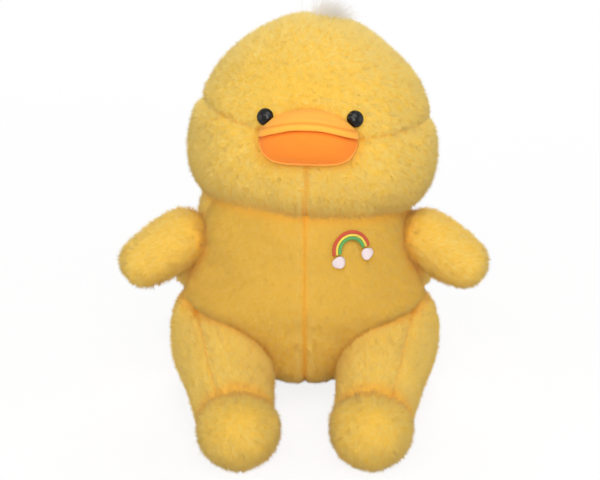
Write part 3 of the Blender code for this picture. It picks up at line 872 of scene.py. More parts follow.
def body_look(points, normals):
    """Pile on the body: short and flat on the belly, parted along its seam, with painted shade in its seams
    and creases, painted light beside the belly seam and low on the belly, and painted shade over the belly.
    """
    local = placed(points, body_matrix.inverted())
    belly = local[:, 1] < side_seam
    to_middle = np.abs(local[:, 0])
    to_side = np.abs(local[:, 1] - side_seam)
    to_seat = np.abs(local[:, 2] - seat_height)
    to_seam = np.minimum(np.minimum(to_middle, to_side), to_seat)
    fullness = np.where(belly, 0.8, 1.0) * (1 - 0.4 * bump(to_seam, seam_dip))
    fullness[to_seam < parting] = 0
    to_arms = resting(arm_limb, arm_matrix, points)
    to_legs = resting(leg_limb, leg_matrix, points)
    behind = np.clip((local[:, 1] - side_seam) / 0.01, 0, 1)
    fullness *= 1 - 0.5 * behind * near(outside_limbs(points), 0.004)
    to_head = outside_egg(head_egg, head_matrix, points)
    fullness[to_head < -0.006] = 0
    to_stitches = outside_stitches(points)
    fullness[to_stitches < 0.0002] = 0
    fullness *= 1 - 0.5 * near(to_stitches, 0.002)
    # Painted shade along the seams and where the arms, the legs and the head meet the body.
    seam_and_crease_shade = 0.55 * bump(to_seam, seam_shade_width) + 0.5 * near(to_arms, 0.006) + 0.4 * near(to_legs, 0.003)
    seam_and_crease_shade += 0.35 * near(to_head, touch_shade_width)
    comb = fixed_direction((0, -0.1, -0.7), points)
    away = np.sign(local[:, 0])[:, None] * np.array([[1, 0, 0]])
    comb = comb + away * (0.5 * bump(to_middle, 0.005))[:, None]
    # Painted light: paler bands beside the belly seam and a paler strip low on the belly. Painted shade: the
    # belly a little deeper and warmer.
    light = 0.3 * bump(to_middle - 0.005, 0.003) - 0.12 * belly
    light += 0.5 * belly * bump(local[:, 2] + 0.083, 0.012)
    seam_and_crease_shade += 0.08 * belly
    ruffle = np.where(belly, 0.5, 0.9)
    # Painted shade on the belly, strongest under the head and fading downwards.
    painted_shade = 0.55 * belly * (1 - 0.9 * np.clip(-local[:, 2] / 0.05, 0, 1))
    return pile_look(fullness, seam_and_crease_shade, comb, light, ruffle, painted_shade)


body_cuts = {
    "belly_left": [(0, 0, True), (1, side_seam, False), (2, seat_height, True)],
    "belly_right": [(0, 0, False), (1, side_seam, False), (2, seat_height, True)],
    "back_left": [(0, 0, True), (1, side_seam, True), (2, seat_height, True)],
    "back_right": [(0, 0, False), (1, side_seam, True), (2, seat_height, True)],
    "seat_panel": [(2, seat_height, False)],
}
for number, (node, cuts) in enumerate(body_cuts.items()):
    panel_form = cut(body_form, [plane(body_matrix, *each) for each in cuts])
    plush_panel(f"{node}_plush", panel_form, node, "torso", 200 + number, body_look)
    panel_form.free()

# %% [markdown]
# ## Arms, legs and feet
# Each limb is a tapered sausage with round ends, sewn from two panels. Its root is a ball that turns
# in the hollow that the body keeps for it, so nothing gapes when a limb is moved. A foot is a ball
# sewn to the end of the leg, and the leg is drawn in where the foot sits.

# %% Limb panels


def limb_look(matrix, axis, crease_shade, spread, nap, foot):
    """Makes the function that says how the pile lies on one limb."""

    def look(points, normals):
        local = placed(points, matrix.inverted())
        to_seam = np.abs(local[:, axis])
        fullness = 1 - 0.4 * bump(to_seam, seam_dip)
        fullness[to_seam < parting] = 0
        to_body = outside_egg(body_egg, body_matrix, points)
        fullness = np.where(to_body < -0.004, fullness * 0.3, fullness)
        # Painted shade along the seam, where the limb meets the body (over spread metres) and, on a leg,
        # where it meets the foot.
        seam_and_crease_shade = 0.6 * bump(to_seam, seam_shade_width) + crease_shade * near(to_body, spread)
        if foot is not None:
            to_foot = outside_egg(foot_egg, foot, points)
            fullness[to_foot < -0.003] = 0
            seam_and_crease_shade += 0.5 * near(to_foot, touch_shade_width)
        way = np.array(matrix)[:3, 2]
        comb = fixed_direction(way * nap, points)
        # The last number is a little painted shade over the whole limb.
        return pile_look(fullness, seam_and_crease_shade, comb, 0.0, 0.8, 0.2)

    return look


def foot_look(leg, foot):
    """Makes the function that says how the pile lies on one foot."""

    def look(points, normals):
        to_leg = outside_limb(leg_limb, leg, points)
        fullness = np.ones(len(points))
        fullness[to_leg < -0.004] = 0
        # Painted shade where the foot meets the leg; the last number given back is a little painted shade
        # over the whole foot.
        seam_and_crease_shade = 0.6 * near(to_leg, touch_shade_width)
        comb = fixed_direction((0, -0.3, -0.5), points)
        return pile_look(fullness, seam_and_crease_shade, comb, 0.0, 0.7, 0.25)

    return look


def limb_panels(form, matrix, axis, halves, limb, seed, look):
    """Cuts a limb into two panels along its seams. Each half says if it is on the axis's plus side."""
    for number, (half, keep_above) in enumerate(halves):
        panel_form = cut(form, [plane(matrix, axis, 0, keep_above)])
        node = f"{limb}_{half}"
        plush_panel(f"{node}_plush", panel_form, node, limb, seed + number, look)
        panel_form.free()


for side_name, side in (("left", 1), ("right", -1)):
    matrix = arm_matrix[side_name]
    form = closed_form(limb_rings(arm_limb, -pile_depth, 60, 72))
    spots = read_points(form)
    press(form, 0.0022 * bump(spots[:, 1], 0.0035) + small_lumps * uneven(spots, 0.04, 13))
    form.transform(matrix)
    form.normal_update()
    look = limb_look(matrix, 1, 0.4, 0.007, 0.9, None)
    arm_halves = (("back", side > 0), ("front", side < 0))
    limb_panels(form, matrix, 1, arm_halves, f"arm_{side_name}", 300, look)

    matrix = leg_matrix[side_name]
    foot = foot_matrix[side_name]
    form = closed_form(limb_rings(leg_limb, -pile_depth, 90, 96))
    spots = read_points(form)
    press(form, 0.0024 * bump(spots[:, 0], 0.0035) + small_lumps * uneven(spots, 0.045, 14))
    form.transform(matrix)
    from_hip = read_points(form) - np.array(leg_joint[side_name])
    reach = np.maximum(np.hypot(from_hip[:, 1], from_hip[:, 2]), 1e-6)
    not_forward = np.clip((0.8 + from_hip[:, 1] / reach) / 0.5, 0, 1)
    fuller = thigh_fullness(read_points(form), side_name, side) * not_forward / reach
    for vert, offset, share in zip(form.verts, from_hip, fuller):
        vert.co.y += float(offset[1] * share)
        vert.co.z += float(offset[2] * share)
    make_room(form, lambda p: outside_egg(foot_egg, foot, p) + pile_depth, leg_joint[side_name], 0.0006)
    look = limb_look(matrix, 0, 0.4, 0.003, -0.8, foot)
    limb_panels(form, matrix, 0, (("bottom", True), ("top", False)), f"leg_{side_name}", 400, look)

    form = closed_form(egg_rings(foot_egg, 48, 80))
    spots = read_points(form)
    press(form, pile_depth + small_lumps * uneven(spots, 0.03, 15))
    form.transform(foot)
    form.normal_update()
    node = f"foot_{side_name}_cover"
    plush_panel(f"{node}_plush", form, node, f"leg_{side_name}", 500, foot_look(leg_matrix[side_name], foot))

# %% [markdown]
# ## Fibre fill
# Under the cloth is siliconised polyester fibre, pushed in by the handful. It can't be seen in the
# finished toy, but a seam that is unpicked would show it, so each filled form has its own soft body
# here: the same form, a little smaller, with small lumps, drawn in where a neighbour presses.

# %% Fibre fill material
fibre_fill, tree = new_material("polyester_fibre_fill")
place = own_place(tree)
# Fibres cling in wisps about 3 mm long, so the pattern turns over every 3 mm, stretched five times.
stretch = add_node(tree, "ShaderNodeMapping", {"Vector": place, "Scale": (330, 66, 330)})
wisps = noise(tree, stretch.outputs["Vector"], 1.0, 4.0)
shade = blend_colours(tree, wisps.outputs["Fac"], to_linear("E6E3DA"), to_linear("FFFEFA"))
height = add_node(tree, "ShaderNodeBump", {"Height": wisps.outputs["Fac"], "Strength": 0.6,
                                           "Distance": 0.001})
shader = add_node(tree, "ShaderNodeBsdfPrincipled", {
    "Base Color": shade, "Roughness": 0.95, "Specular IOR Level": 0.1, "Sheen Weight": 0.4,
    "Normal": height.outputs["Normal"]})
show(tree, shader.outputs["BSDF"])
print("Material:", fibre_fill.name)

# %% Fibre fill bodies


def finish_piece(name, bm, surface, body, nodes):
    """Turns a worked form into a piece with a material, riding on its body, for its CAD nodes."""
    mesh = bpy.data.meshes.new(name)
    bm.to_mesh(mesh)
    bm.free()
    mesh.shade_smooth()
    mesh.materials.append(surface)
    piece = add_object(name, mesh)
    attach(piece, body)
    if nodes:
        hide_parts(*nodes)
    return piece


def fill_body(name, rows, matrix, body, keep_clear=None, target=None):
    """A lumpy body of fibre fill inside one form."""
    bm = closed_form(rows)
    press(bm, 0.0008 + 0.0008 * uneven(read_points(bm), 0.018, 16))
    bm.transform(matrix)
    bm.normal_update()
    if keep_clear:
        make_room(bm, keep_clear, target, 0.0006)
    piece = finish_piece(f"{name}_wad", bm, fibre_fill, body, [name])


def shrunk(form, distance):
    """The same egg, smaller by a distance on every side."""
    return form._replace(half_width=form.half_width - distance, half_depth=form.half_depth - distance,
                         rise=form.rise - distance, drop=form.drop - distance)


fill_gap = 0.0062
wad_clearance = 0.009       # between the body's fill and its neighbours' surfaces
under_cloth = pile_depth + cloth_thickness + fill_gap
fill_body("head_stuffing", egg_rings(shrunk(head_egg, under_cloth + 0.002), 48, 72), head_matrix, "torso")
fill_body("body_stuffing", egg_rings(shrunk(body_egg, under_cloth), 48, 72), body_matrix, "torso",
          lambda p: outside_neighbours(p) - wad_clearance, body_core)
for side_name in ("left", "right"):
    fill_body(f"arm_{side_name}_stuffing", limb_rings(arm_limb, -under_cloth, 24, 32),
              arm_matrix[side_name], f"arm_{side_name}")
    foot = foot_matrix[side_name]
    fill_body(f"leg_{side_name}_stuffing", limb_rings(leg_limb, -under_cloth, 32, 40),
              leg_matrix[side_name], f"leg_{side_name}",
              lambda p: outside_egg(foot_egg, foot, p) + 0.001, leg_joint[side_name])
    fill_body(f"foot_{side_name}_stuffing", egg_rings(shrunk(foot_egg, under_cloth), 24, 32), foot,
              f"leg_{side_name}")
print("Fill lies", round(under_cloth * 1000, 1), "mm under the pile's tips")

# %% [markdown]
# ## Bill
# The bill is sewn from short orange velour, which has a nap of about a millimetre, so it looks smooth
# beside the plush. The upper cover is a padded crescent with a soft fold along its front, which has
# painted shade, and it rolls over the lip. The lower cover is the same velour painted a deeper orange,
# as shade, and sits back from the lip, with a corded edge where it is sewn to the face. A line of
# painted shade runs under the rim.

# %% Velour and cord materials


def velour(name, colour, deep):
    """Short nap: a fine grain of paler and deeper fibre, with painted shade in the folds, and a soft sheen.
    """
    surface, tree = new_material(name)
    place = own_place(tree)
    # The nap stands in locks of about 0.6 mm, and lies this way or that over about 8 mm.
    grain = noise(tree, place, 1700.0, 2.0)
    lay = noise(tree, place, 125.0, 3.0)
    fold_shade = attribute(tree, "fold_shade")
    mixed = add_node(tree, "ShaderNodeMath", {0: grain.outputs["Fac"], 1: lay.outputs["Fac"]},
                     operation="ADD")
    spread = add_node(tree, "ShaderNodeMapRange", {0: mixed.outputs[0], 1: 0.7, 2: 1.3, 3: 0.0, 4: 0.28})
    napped = blend_colours(tree, spread.outputs[0], to_linear(colour), to_linear(deep))
    # Painted shade: a deeper orange in the fold along the lip and in the line under the rim.
    fold_shaded = blend_colours(tree, fold_shade, napped, to_linear("E8761C"))
    relief = add_node(tree, "ShaderNodeBump", {"Height": grain.outputs["Fac"], "Strength": 0.25,
                                               "Distance": 0.0004})
    shader = add_node(tree, "ShaderNodeBsdfPrincipled", {
        "Base Color": fold_shaded, "Roughness": 0.8, "Specular IOR Level": 0.2, "Sheen Weight": 0.25,
        "Sheen Roughness": 0.4, "Sheen Tint": to_linear("FFD9A0"), "Normal": relief.outputs["Normal"]})
    show(tree, shader.outputs["BSDF"])
    return surface


upper_velour = velour("velour_light_orange", "FFB647", "FFA63A")
# The lower cover's deeper orange is painted shade on the same velour.
shaded_lower_velour = velour("velour_orange_painted_shade", "FA8D2E", "F48424")
print("Materials:", upper_velour.name, shaded_lower_velour.name)

# %% Bill covers


def bill_rows(profile, around=120):
    """Rings of the bill from a profile of heights and of distances that the surface stands out."""
    turn = np.linspace(0, 2 * np.pi, around, endpoint=False)
    rows = []
    for index, (height, out) in enumerate(profile):
        share = float(egg_share(bill_egg, np.array([height]))[0])
        ends = index in (0, len(profile) - 1)
        wide = 0 if ends else bill_egg.half_width * share + out
        deep = 0 if ends else bill_egg.half_depth * share + out
        rounded = 0.075 * (0 if ends else 1) * np.cos(turn) ** 12 * bump(height + 0.0005, 0.0034)
        x, y = wide * np.cos(turn) * (1 - rounded), deep * np.sin(turn)
        z = height - bill_droop * (x / bill_egg.half_width) ** 2
        rows.append(np.stack([x, y, z], axis=1))
    return np.array(rows)


def smooth_profile(points, steps):
    """A profile with more points on it, on a smooth curve through the given ones."""
    points = np.array(points, float)
    walked = np.concatenate([[0], np.cumsum(np.hypot(*np.diff(points, axis=0).T))])
    padded = np.concatenate([[2 * points[0] - points[1]], points, [2 * points[-1] - points[-2]]])
    out = []
    for spot in np.linspace(0, walked[-1], steps):
        index = min(np.searchsorted(walked, spot, side="right") - 1, len(points) - 2)
        t = (spot - walked[index]) / (walked[index + 1] - walked[index])
        a, b, c, d = padded[index:index + 4]
        out.append(0.5 * (2 * b + (c - a) * t + (2 * a - 5 * b + 4 * c - d) * t ** 2
                          + (3 * b - a - 3 * c + d) * t ** 3))
    return out


rim = [(-0.0030, -0.0100), (-0.0038, -0.0035), (-0.0042, -0.0012), (-0.0040, 0.0004), (-0.0026, 0.0014),
       (-0.0008, 0.0016), (0.0008, 0.0010), (0.0017, 0.0001), (0.0023, -0.0004), (0.0031, 0.0002)]
top_heights = bill_egg.rise * np.sin(np.linspace(0.42, np.pi / 2, 16)) ** (2 / bill_egg.top_power)
upper_profile = [(-0.0030, 0)] + smooth_profile(rim, 34) + [(h, 0.0003) for h in top_heights]
low_heights = -bill_egg.drop * np.sin(np.linspace(np.pi / 2, 0.11, 34)) ** (2 / bill_egg.bottom_power)
lower_profile = [(h, -0.0004) for h in low_heights if h < -0.0050]
lower_profile += [(-0.0046, -0.0012), (-0.0040, -0.0028), (-0.0036, -0.0060), (-0.0036, 0)]


def bill_cover(name, profile, surface, node):
    """One cover of the bill. What lies inside the face is drawn forward, out of it."""
    bm = closed_form(bill_rows(profile))
    press(bm, 0.00025 * uneven(read_points(bm), 0.02, 17))
    spots = read_points(bm)
    bent = spots[:, 2] + bill_droop * (spots[:, 0] / bill_egg.half_width) ** 2
    bm.transform(bill_matrix)
    make_room(bm, lambda p: outside_egg(head_egg, head_matrix, p) + 0.0042,
              bill_matrix @ Vector((0, -0.036, -0.004)), 0.0)
    # Painted shade along the fold of the lip and in the line under the rim.
    fold_shade_layer = bm.verts.layers.float.new("fold_shade")
    depth = 0.55 * bump(bent - 0.0022, 0.0009) + 0.9 * bump(bent + 0.0046, 0.0010)
    for vert, amount in zip(bm.verts, depth):
        vert[fold_shade_layer] = min(float(amount), 1)
    piece = finish_piece(name, bm, surface, "torso", [node])


bill_cover("bill_upper_velour", upper_profile, upper_velour, "bill_upper")
bill_cover("bill_lower_velour", lower_profile, shaded_lower_velour, "bill_lower")
inner_bill = bill_egg._replace(half_width=0.0405, half_depth=0.0385, rise=0.0052, drop=0.0355)
wad_rows = egg_rings(inner_bill, 20, 40)
wad_rows[..., 2] -= bill_droop * (wad_rows[..., 0] / bill_egg.half_width) ** 2
fill_body("bill_stuffing", wad_rows, bill_matrix, "torso",
          lambda p: outside_egg(head_egg, head_matrix, p) + 0.004,
          bill_matrix @ Vector((0, -0.032, -0.006)))
print("Bill is", round(bill_egg.half_width * 2000), "mm wide")

# %% [markdown]
# ## Threads, cords and hair
# Stitches, the bill's corded edge and the wisp of hair are all thin round things that follow a path,
# so one function makes them. Each path has its own radius at every point, which lets hair taper.

# %% Thin round things


def tube_arrays(paths, radii, sides):
    """Vertices and triangles of round tubes along paths, closed at both ends."""
    points, triangles, count = [], [], 0
    angle = np.linspace(0, 2 * np.pi, sides, endpoint=False)
    for path, radius in zip(paths, radii):
        path = np.asarray(path, float)
        way = unit(np.gradient(path, axis=0))
        first = unit(np.cross(way, np.array([[0.31, 0.22, 0.92]])))
        second = np.cross(way, first)
        radius = np.broadcast_to(np.asarray(radius, float), len(path))[:, None, None]
        ring = (first[:, None] * np.cos(angle)[None, :, None]
                + second[:, None] * np.sin(angle)[None, :, None]) * radius
        points.append((path[:, None] + ring).reshape(-1, 3))
        points.append(path[[0, -1]])
        rings = len(path)
        a = np.arange(rings - 1)[:, None] * sides + np.arange(sides)[None]
        b = np.arange(rings - 1)[:, None] * sides + (np.arange(sides)[None] + 1) % sides
        walls = [np.stack([a, b, b + sides], axis=2), np.stack([a, b + sides, a + sides], axis=2)]
        around = np.arange(sides)
        beside = (around + 1) % sides
        last = (rings - 1) * sides
        low_cap = np.stack([beside, around, np.full(sides, rings * sides)], axis=1)
        high_cap = np.stack([last + around, last + beside, np.full(sides, rings * sides + 1)], axis=1)
        shape = np.concatenate([wall.reshape(-1, 3) for wall in walls] + [low_cap, high_cap])
        triangles.append(shape + count)
        count += rings * sides + 2
    return np.concatenate(points), np.concatenate(triangles)


def tube_piece(name, paths, radii, sides, surface, nodes, values=None):
    """One piece made of many thin round things."""
    points, triangles = tube_arrays(paths, radii, sides)
    mesh = triangle_mesh(name, points, triangles, values or {})
    mesh.materials.append(surface)
    piece = add_object(name, mesh)
    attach(piece, "torso")
    if nodes:
        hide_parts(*nodes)
    print(f"{name}: {len(paths)} strands, {len(triangles)} triangles")
    return piece


# %% [markdown]
# ## Corded edge and seam thread
# Where the lower bill meets the face its edge is folded over a cord. Elsewhere the sewing thread shows
# only as a warm line at the bottom of a parting: down the chin and down the belly.

# %% Cord and seam thread


def twisted_thread(name, colour, deep, roughness, strands_apart):
    """Thread or cord: plies show as slanted bands, strands_apart metres from one to the next."""
    surface, tree = new_material(name)
    place = own_place(tree)
    bands = add_node(tree, "ShaderNodeTexWave", {"Vector": place,
                                                 "Scale": 0.31 / strands_apart, "Distortion": 1.5,
                                                 "Detail": 2.0}, bands_direction="DIAGONAL")
    shade = blend_colours(tree, bands.outputs["Fac"], to_linear(deep), to_linear(colour))
    relief = add_node(tree, "ShaderNodeBump", {"Height": bands.outputs["Fac"], "Strength": 0.3,
                                               "Distance": 0.0002})
    shader = add_node(tree, "ShaderNodeBsdfPrincipled", {
        "Base Color": shade, "Roughness": roughness, "Specular IOR Level": 0.4, "Sheen Weight": 0.15,
        "Normal": relief.outputs["Normal"]})
    show(tree, shader.outputs["BSDF"])
    return surface


edge_cord = twisted_thread("velour_covered_cord", "FFB04C", "FA9C36", 0.8, 0.0008)
seam_thread = twisted_thread("polyester_sewing_thread", "F0C05C", "DFA848", 0.6, 0.0006)


def on_edge_of_face(turn):
    """Where the lower bill comes out of the face's pile, along one direction round the bill."""
    heights = np.linspace(-0.0046, -bill_egg.drop * 0.995, 400)
    share = egg_share(bill_egg, heights)
    x = bill_egg.half_width * share * math.cos(turn)
    y = bill_egg.half_depth * share * math.sin(turn)
    z = heights - bill_droop * (x / bill_egg.half_width) ** 2
    points = placed(np.stack([x, y, z], axis=1), bill_matrix)
    out = outside_egg(head_egg, head_matrix, points)
    inside = np.where(out < 0.0002)[0]
    return points[inside[0]] if len(inside) and inside[0] > 0 else None


edge_points = [on_edge_of_face(turn) for turn in np.linspace(-np.pi * 0.98, -np.pi * 0.02, 160)]
edge_points = np.array([point for point in edge_points if point is not None])
edge_radius = 0.0014 * np.sqrt(np.sin(np.linspace(0.06, np.pi - 0.06, len(edge_points))))
tube_piece("bill_corded_edge", [edge_points], [edge_radius], 10, edge_cord, None)


def seam_path(form, matrix, low, high, deep):
    """A path down the front of an egg, a little under its surface."""
    heights = np.linspace(high, low, 60)
    points = np.array([surface_point(form, 0.0, height) for height in heights])
    points[:, 1] += deep
    return placed(points, matrix)


chin_path = seam_path(head_egg, head_matrix, -0.050, 0.010, 0.0062)
belly_path = seam_path(body_egg, body_matrix, -0.085, 0.070, 0.0060)
tube_piece("chin_seam_thread", [chin_path], [0.0005], 8, seam_thread, None)
tube_piece("belly_seam_thread", [belly_path], [0.0005], 8, seam_thread, None)

# %% [markdown]
# ## Eyes
# The eyes are black safety eyes: one moulding of hard acrylic with a domed head and a post, which a
# washer locks from inside. The moulding is polished, so all that it shows is black and the reflection
# of the lamps.

# %% Eyes and washers
eye_acrylic, tree = new_material("acrylic_moulded_black_gloss")
place = own_place(tree)
# A polished dome picks up fine scuffs of about 0.3 mm, which break up its shine only a little.
scuffs = noise(tree, place, 3300.0, 2.0)
polish = add_node(tree, "ShaderNodeMapRange", {0: scuffs.outputs["Fac"], 1: 0.3, 2: 0.8, 3: 0.02,
                                               4: 0.07})
tint = blend_colours(tree, scuffs.outputs["Fac"], to_linear("060404"), to_linear("0E0A0A"))
shader = add_node(tree, "ShaderNodeBsdfPrincipled", {
    "Base Color": tint, "Roughness": polish.outputs[0], "IOR": 1.34})
show(tree, shader.outputs["BSDF"])

washer_nylon, tree = new_material("nylon_moulded_washer")
place = own_place(tree)
flow = noise(tree, place, 400.0, 3.0)
tint = blend_colours(tree, flow.outputs["Fac"], to_linear("D9D6CC"), to_linear("EDEBE4"))
shader = add_node(tree, "ShaderNodeBsdfPrincipled", {"Base Color": tint, "Roughness": 0.45, "IOR": 1.53})
show(tree, shader.outputs["BSDF"])

# The dome is wider than its solid, and the pile around it hides about a millimetre of its edge.
eye_radius, eye_bulge, post_radius, post_length = 0.0076, 0.0052, 0.0023, 0.012
eye_sunk = 0.0012
for eye_name, place in zip(("left", "right"), eye_places):
    turned_to = surface_direction(head_egg, place).to_track_quat("Z", "Y").to_matrix().to_4x4()
    eye_matrix = head_matrix @ Matrix.Translation(place) @ turned_to @ Matrix.Translation((0, 0, -eye_sunk))
    arc = np.linspace(0, np.pi / 2, 20)
    profile = [(0, -post_length), (post_radius, -post_length), (post_radius, -0.0008),
               (eye_radius - 0.0006, -0.0006), (eye_radius, 0.0001)]
    profile += [(eye_radius * math.cos(a), 0.0002 + eye_bulge * math.sin(a)) for a in arc[1:-1]]
    profile += [(0, 0.0002 + eye_bulge)]
    radii, heights = np.array(profile, float).T
    bm = closed_form(ring_rows(radii, radii, heights, 48))
    bm.transform(eye_matrix)
    bm.normal_update()
    node = f"eye_{eye_name}"
    finish_piece(f"{node}_dome", bm, eye_acrylic, "torso", [node])
    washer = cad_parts[f"eye_washer_{eye_name}"]
    washer.data.materials.clear()
    washer.data.materials.append(washer_nylon)
print("Eyes are", eye_radius * 2000, "mm across")

# %% [markdown]
# ## Wisp of hair
# A pinch of long pale fibre is caught in the crown. It fans out and falls towards the duck's left.
# Each hair here is 0.3 mm thick at its root and runs out to a point.

# %% Wisp of hair
pale_hair = acrylic_pile("acrylic_long_hair_pale", "F4E6CC", "E6DEDA", "FFFFFF", "FBE7C0", 0.8)
dice = np.random.default_rng(30)
hairs, hair_radii = [], []
hair_count, hair_length = 620, 0.0225
share_along = np.linspace(0, 1, 7)
for _ in range(hair_count):
    across = dice.normal() * 0.46
    side = 0.005 + 0.014 * across + dice.normal() * 0.0012
    deep = dice.normal() * 0.003
    across_share = abs(side / head_egg.half_width) ** head_egg.top_power
    root_height = head_egg.rise * (1 - across_share) ** (1 / head_egg.top_power)
    root = np.array([side, deep, root_height - 0.006])
    lean = math.radians(24 + 24 * across + dice.normal() * 13)
    long = hair_length * dice.uniform(0.6, 1.1)
    bend = math.radians(28 + dice.normal() * 12)
    angle = lean + bend * share_along
    step = long / (len(share_along) - 1)
    side_steps = np.concatenate([[0], np.cumsum(np.sin(angle[1:]) * step)])
    rise_steps = np.concatenate([[0], np.cumsum(np.cos(angle[1:]) * step)])
    sway = dice.normal() * 0.003 * share_along ** 2
    path = root + np.stack([side_steps, sway, rise_steps], axis=1)
    hairs.append(placed(path, head_matrix))
    hair_radii.append(0.00017 * (1 - 0.85 * share_along))
hair_way = fixed_direction((0, -0.25, 0.97), np.zeros((len(hairs) * (3 * len(share_along) + 2), 3)))
hair_values = {"tip": np.concatenate([np.concatenate([np.repeat(share_along, 3), [0, 1]]) for _ in hairs]),
               "tip_paleness": np.repeat(dice.uniform(size=len(hairs)), 3 * len(share_along) + 2),
               "pile_normal": hair_way, "custom_normal": hair_way}
tube_piece("crown_tuft_hair", hairs, hair_radii, 3, pale_hair, ["crown_tuft"], hair_values)

# %% [markdown]
# ## Rainbow
# A small embroidered rainbow stands on two clouds on the chest. Satin stitch lays each thread straight
# across its band, close beside the last, and the pull of the thread makes the band a little domed. The
# clouds are filled with straight rows. Here every stitch is a thread of its own, so the light catches
# the bands as it does on real embroidery.

# %% Rainbow stitches


def on_chest(flat, above):
    """Places flat points of the design on the chest, a given distance above its surface."""
    low, high = np.full(len(flat), -0.02), np.full(len(flat), 0.02)
    for _ in range(26):
        middle = (low + high) / 2
        points = placed(np.column_stack([flat, middle]), rainbow_matrix)
        under = outside_egg(body_egg, body_matrix, points) < above
        low, high = np.where(under, middle, low), np.where(under, high, middle)
    return placed(np.column_stack([flat, (low + high) / 2]), rainbow_matrix)


def satin_thread(name, colour, deep):
    """Rayon embroidery thread: smooth and a little shiny, with the twist just visible."""
    return twisted_thread(name, colour, deep, 0.42, 0.0005)


def stitches(ends, rise, base=-0.0012):
    """Threads between pairs of flat points, each domed over the cloth."""
    share = np.linspace(0, 1, 6)
    paths = []
    for start, end in ends:
        flat = start + (end - start) * share[:, None]
        above = base + rise * np.sin(np.pi * share) ** 0.6
        paths.append(on_chest(flat, above))
    return paths


def stitch_piece(name, ends, rise, surface):
    """One stitched piece, with a thread between each pair of flat points."""
    tube_piece(f"{name}_stitches", stitches(ends, rise), [stitch_radius] * len(ends), 6, surface,
               [name])


thread_apart = 0.00040
stitch_radius = 0.00024
end_jitter = 0.0001
red_width, yellow_width, band_gap = 0.0030, 0.0021, 0.0001
dice = np.random.default_rng(31)
red = satin_thread("rayon_thread_red", "D65C38", "BC4526")
yellow = satin_thread("rayon_thread_yellow", "F8E56A", "E9C93C")
green = satin_thread("rayon_thread_green", "6DB35F", "4E9A4C")
white = satin_thread("rayon_thread_pinkish_white", "EFE1E2", "DECDD0")
red_inner = rainbow_radius - red_width
yellow_outer = red_inner - band_gap
yellow_inner = yellow_outer - yellow_width
green_outer = yellow_inner - band_gap
for name, outer, inner, surface, slot in (
        ("rainbow_red", rainbow_radius, red_inner, red, "red_thread"),
        ("rainbow_yellow", yellow_outer, yellow_inner, yellow, "yellow_thread"),
        ("rainbow_green", green_outer, rainbow_inside, green, "green_thread")):
    ends = []
    for angle in np.arange(0, np.pi, thread_apart / ((outer + inner) / 2)):
        way = np.array([math.cos(angle), math.sin(angle)])
        ends.append((way * (inner + dice.uniform(-end_jitter, end_jitter)),
                     way * (outer + dice.uniform(-end_jitter, end_jitter))))
    stitch_piece(name, ends, 0.0009, surface)

for name, centre in (("cloud_left", cloud_middle), ("cloud_right", -cloud_middle)):
    ends = []
    for low in np.arange(-1.2, 1.2, thread_apart / cloud_radius):
        angle = np.linspace(0, 2 * np.pi, 361)
        radius = cloud_radius * (0.95 + 0.05 * np.cos(2 * angle) + 0.05 * np.sin(3 * angle + centre * 90))
        x, y = centre + radius * np.cos(angle), -cloud_drop + radius * np.sin(angle)
        level = -cloud_drop + low * cloud_radius
        crossed = np.where(np.diff(np.sign(y - level)) != 0)[0]
        if len(crossed) >= 2:
            ends.append((np.array([x[crossed].min(), level]), np.array([x[crossed].max(), level])))
    stitch_piece(name, ends, 0.0012, white)

# %% [markdown]
# ## Floor, light and background
# The photograph has a plain white ground and very soft light, from near the camera, from above and from
# both sides. Square lamps give such light, and one more stands behind the duck. A very small one makes
# the spark in the eyes. The world is white to the camera, and dimmer as a lamp.

# %% Floor
floor_material, tree = new_material("matt_paper_floor")
paper = add_node(tree, "ShaderNodeBsdfDiffuse", {"Color": to_linear("F7F7F7")})
white = add_node(tree, "ShaderNodeEmission", {"Color": to_linear("FFFFFF"), "Strength": 1.0})
seen = ray_is(tree, "Is Camera Ray", "Is Glossy Ray")
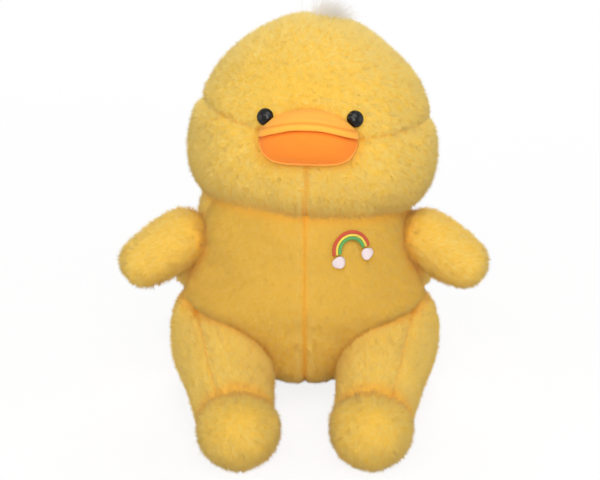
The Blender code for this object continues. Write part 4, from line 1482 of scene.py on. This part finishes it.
# The paper shows for 0.4 m around the duck and has run out into plain white at 1.3 m.
place = own_place(tree)
reach = add_node(tree, "ShaderNodeVectorMath", {0: place}, operation="LENGTH")
fade = add_node(tree, "ShaderNodeMapRange", {0: reach.outputs["Value"], 1: 0.4, 2: 1.3, 3: 0.85, 4: 1.0})
share = add_node(tree, "ShaderNodeMath", {0: seen, 1: fade.outputs[0]}, operation="MULTIPLY")
both = add_node(tree, "ShaderNodeMixShader", {0: share.outputs[0], 1: paper.outputs[0],
                                              2: white.outputs[0]})
show(tree, both.outputs[0])
bpy.ops.mesh.primitive_plane_add(size=30, location=(0, 0, 0))
floor = bpy.context.object
floor.name = "floor"
floor.data.materials.append(floor_material)
floor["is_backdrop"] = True
print("Floor:", floor.dimensions.x, "m")

# %% World and lamps
world = bpy.data.worlds.new("white_room")
bpy.context.scene.world = world
world.use_nodes = True
world.node_tree.nodes.clear()
tree = world.node_tree
seen = ray_is(tree, "Is Camera Ray", "Is Glossy Ray", "Is Transmission Ray")
ambient = add_node(tree, "ShaderNodeBackground", {"Color": to_linear("FFFFFF"), "Strength": 0.22})
plain = add_node(tree, "ShaderNodeBackground", {"Color": to_linear("FFFFFF"), "Strength": 1.0})
both = add_node(tree, "ShaderNodeMixShader", {0: seen, 1: ambient.outputs[0],
                                              2: plain.outputs[0]})
add_node(tree, "ShaderNodeOutputWorld", {"Surface": both.outputs[0]})


def lamp(name, place, target, size, power):
    """A square soft lamp that faces a target."""
    light = bpy.data.lights.new(name, "AREA")
    light.shape = "SQUARE"
    light.size = size
    light.energy = power
    thing = add_object(name, light)
    thing.location = place
    thing.rotation_euler = (Vector(target) - Vector(place)).to_track_quat("-Z", "Y").to_euler()
    return thing


lamp("key_lamp", (-0.9, -1.3, 1.6), (0, 0, 0.18), 0.7, 3.5)
lamp("camera_lamp", (0.1, -1.5, 0.75), (0, 0, 0.15), 0.6, 6.5)
lamp("top_lamp", (0.3, -1.1, 1.9), (0, 0, 0.22), 1.4, 18)
lamp("side_lamp_right", (-1.5, -0.5, 0.5), (0, 0, 0.08), 1.0, 4)
lamp("side_lamp_left", (1.5, -0.5, 0.5), (0, 0, 0.08), 1.0, 3.5)
lamp("back_lamp", (0.2, 1.4, 1.4), (0, 0, 0.2), 1.2, 17)
lamp("sparkle_lamp", (-0.25, -1.1, 1.05), (0, 0, 0.27), 0.08, 2.4)

# %% Check the size and finish
low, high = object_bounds()
print("Visual box in mm:", [round(1000 * (b - a)) for a, b in zip(low, high)])
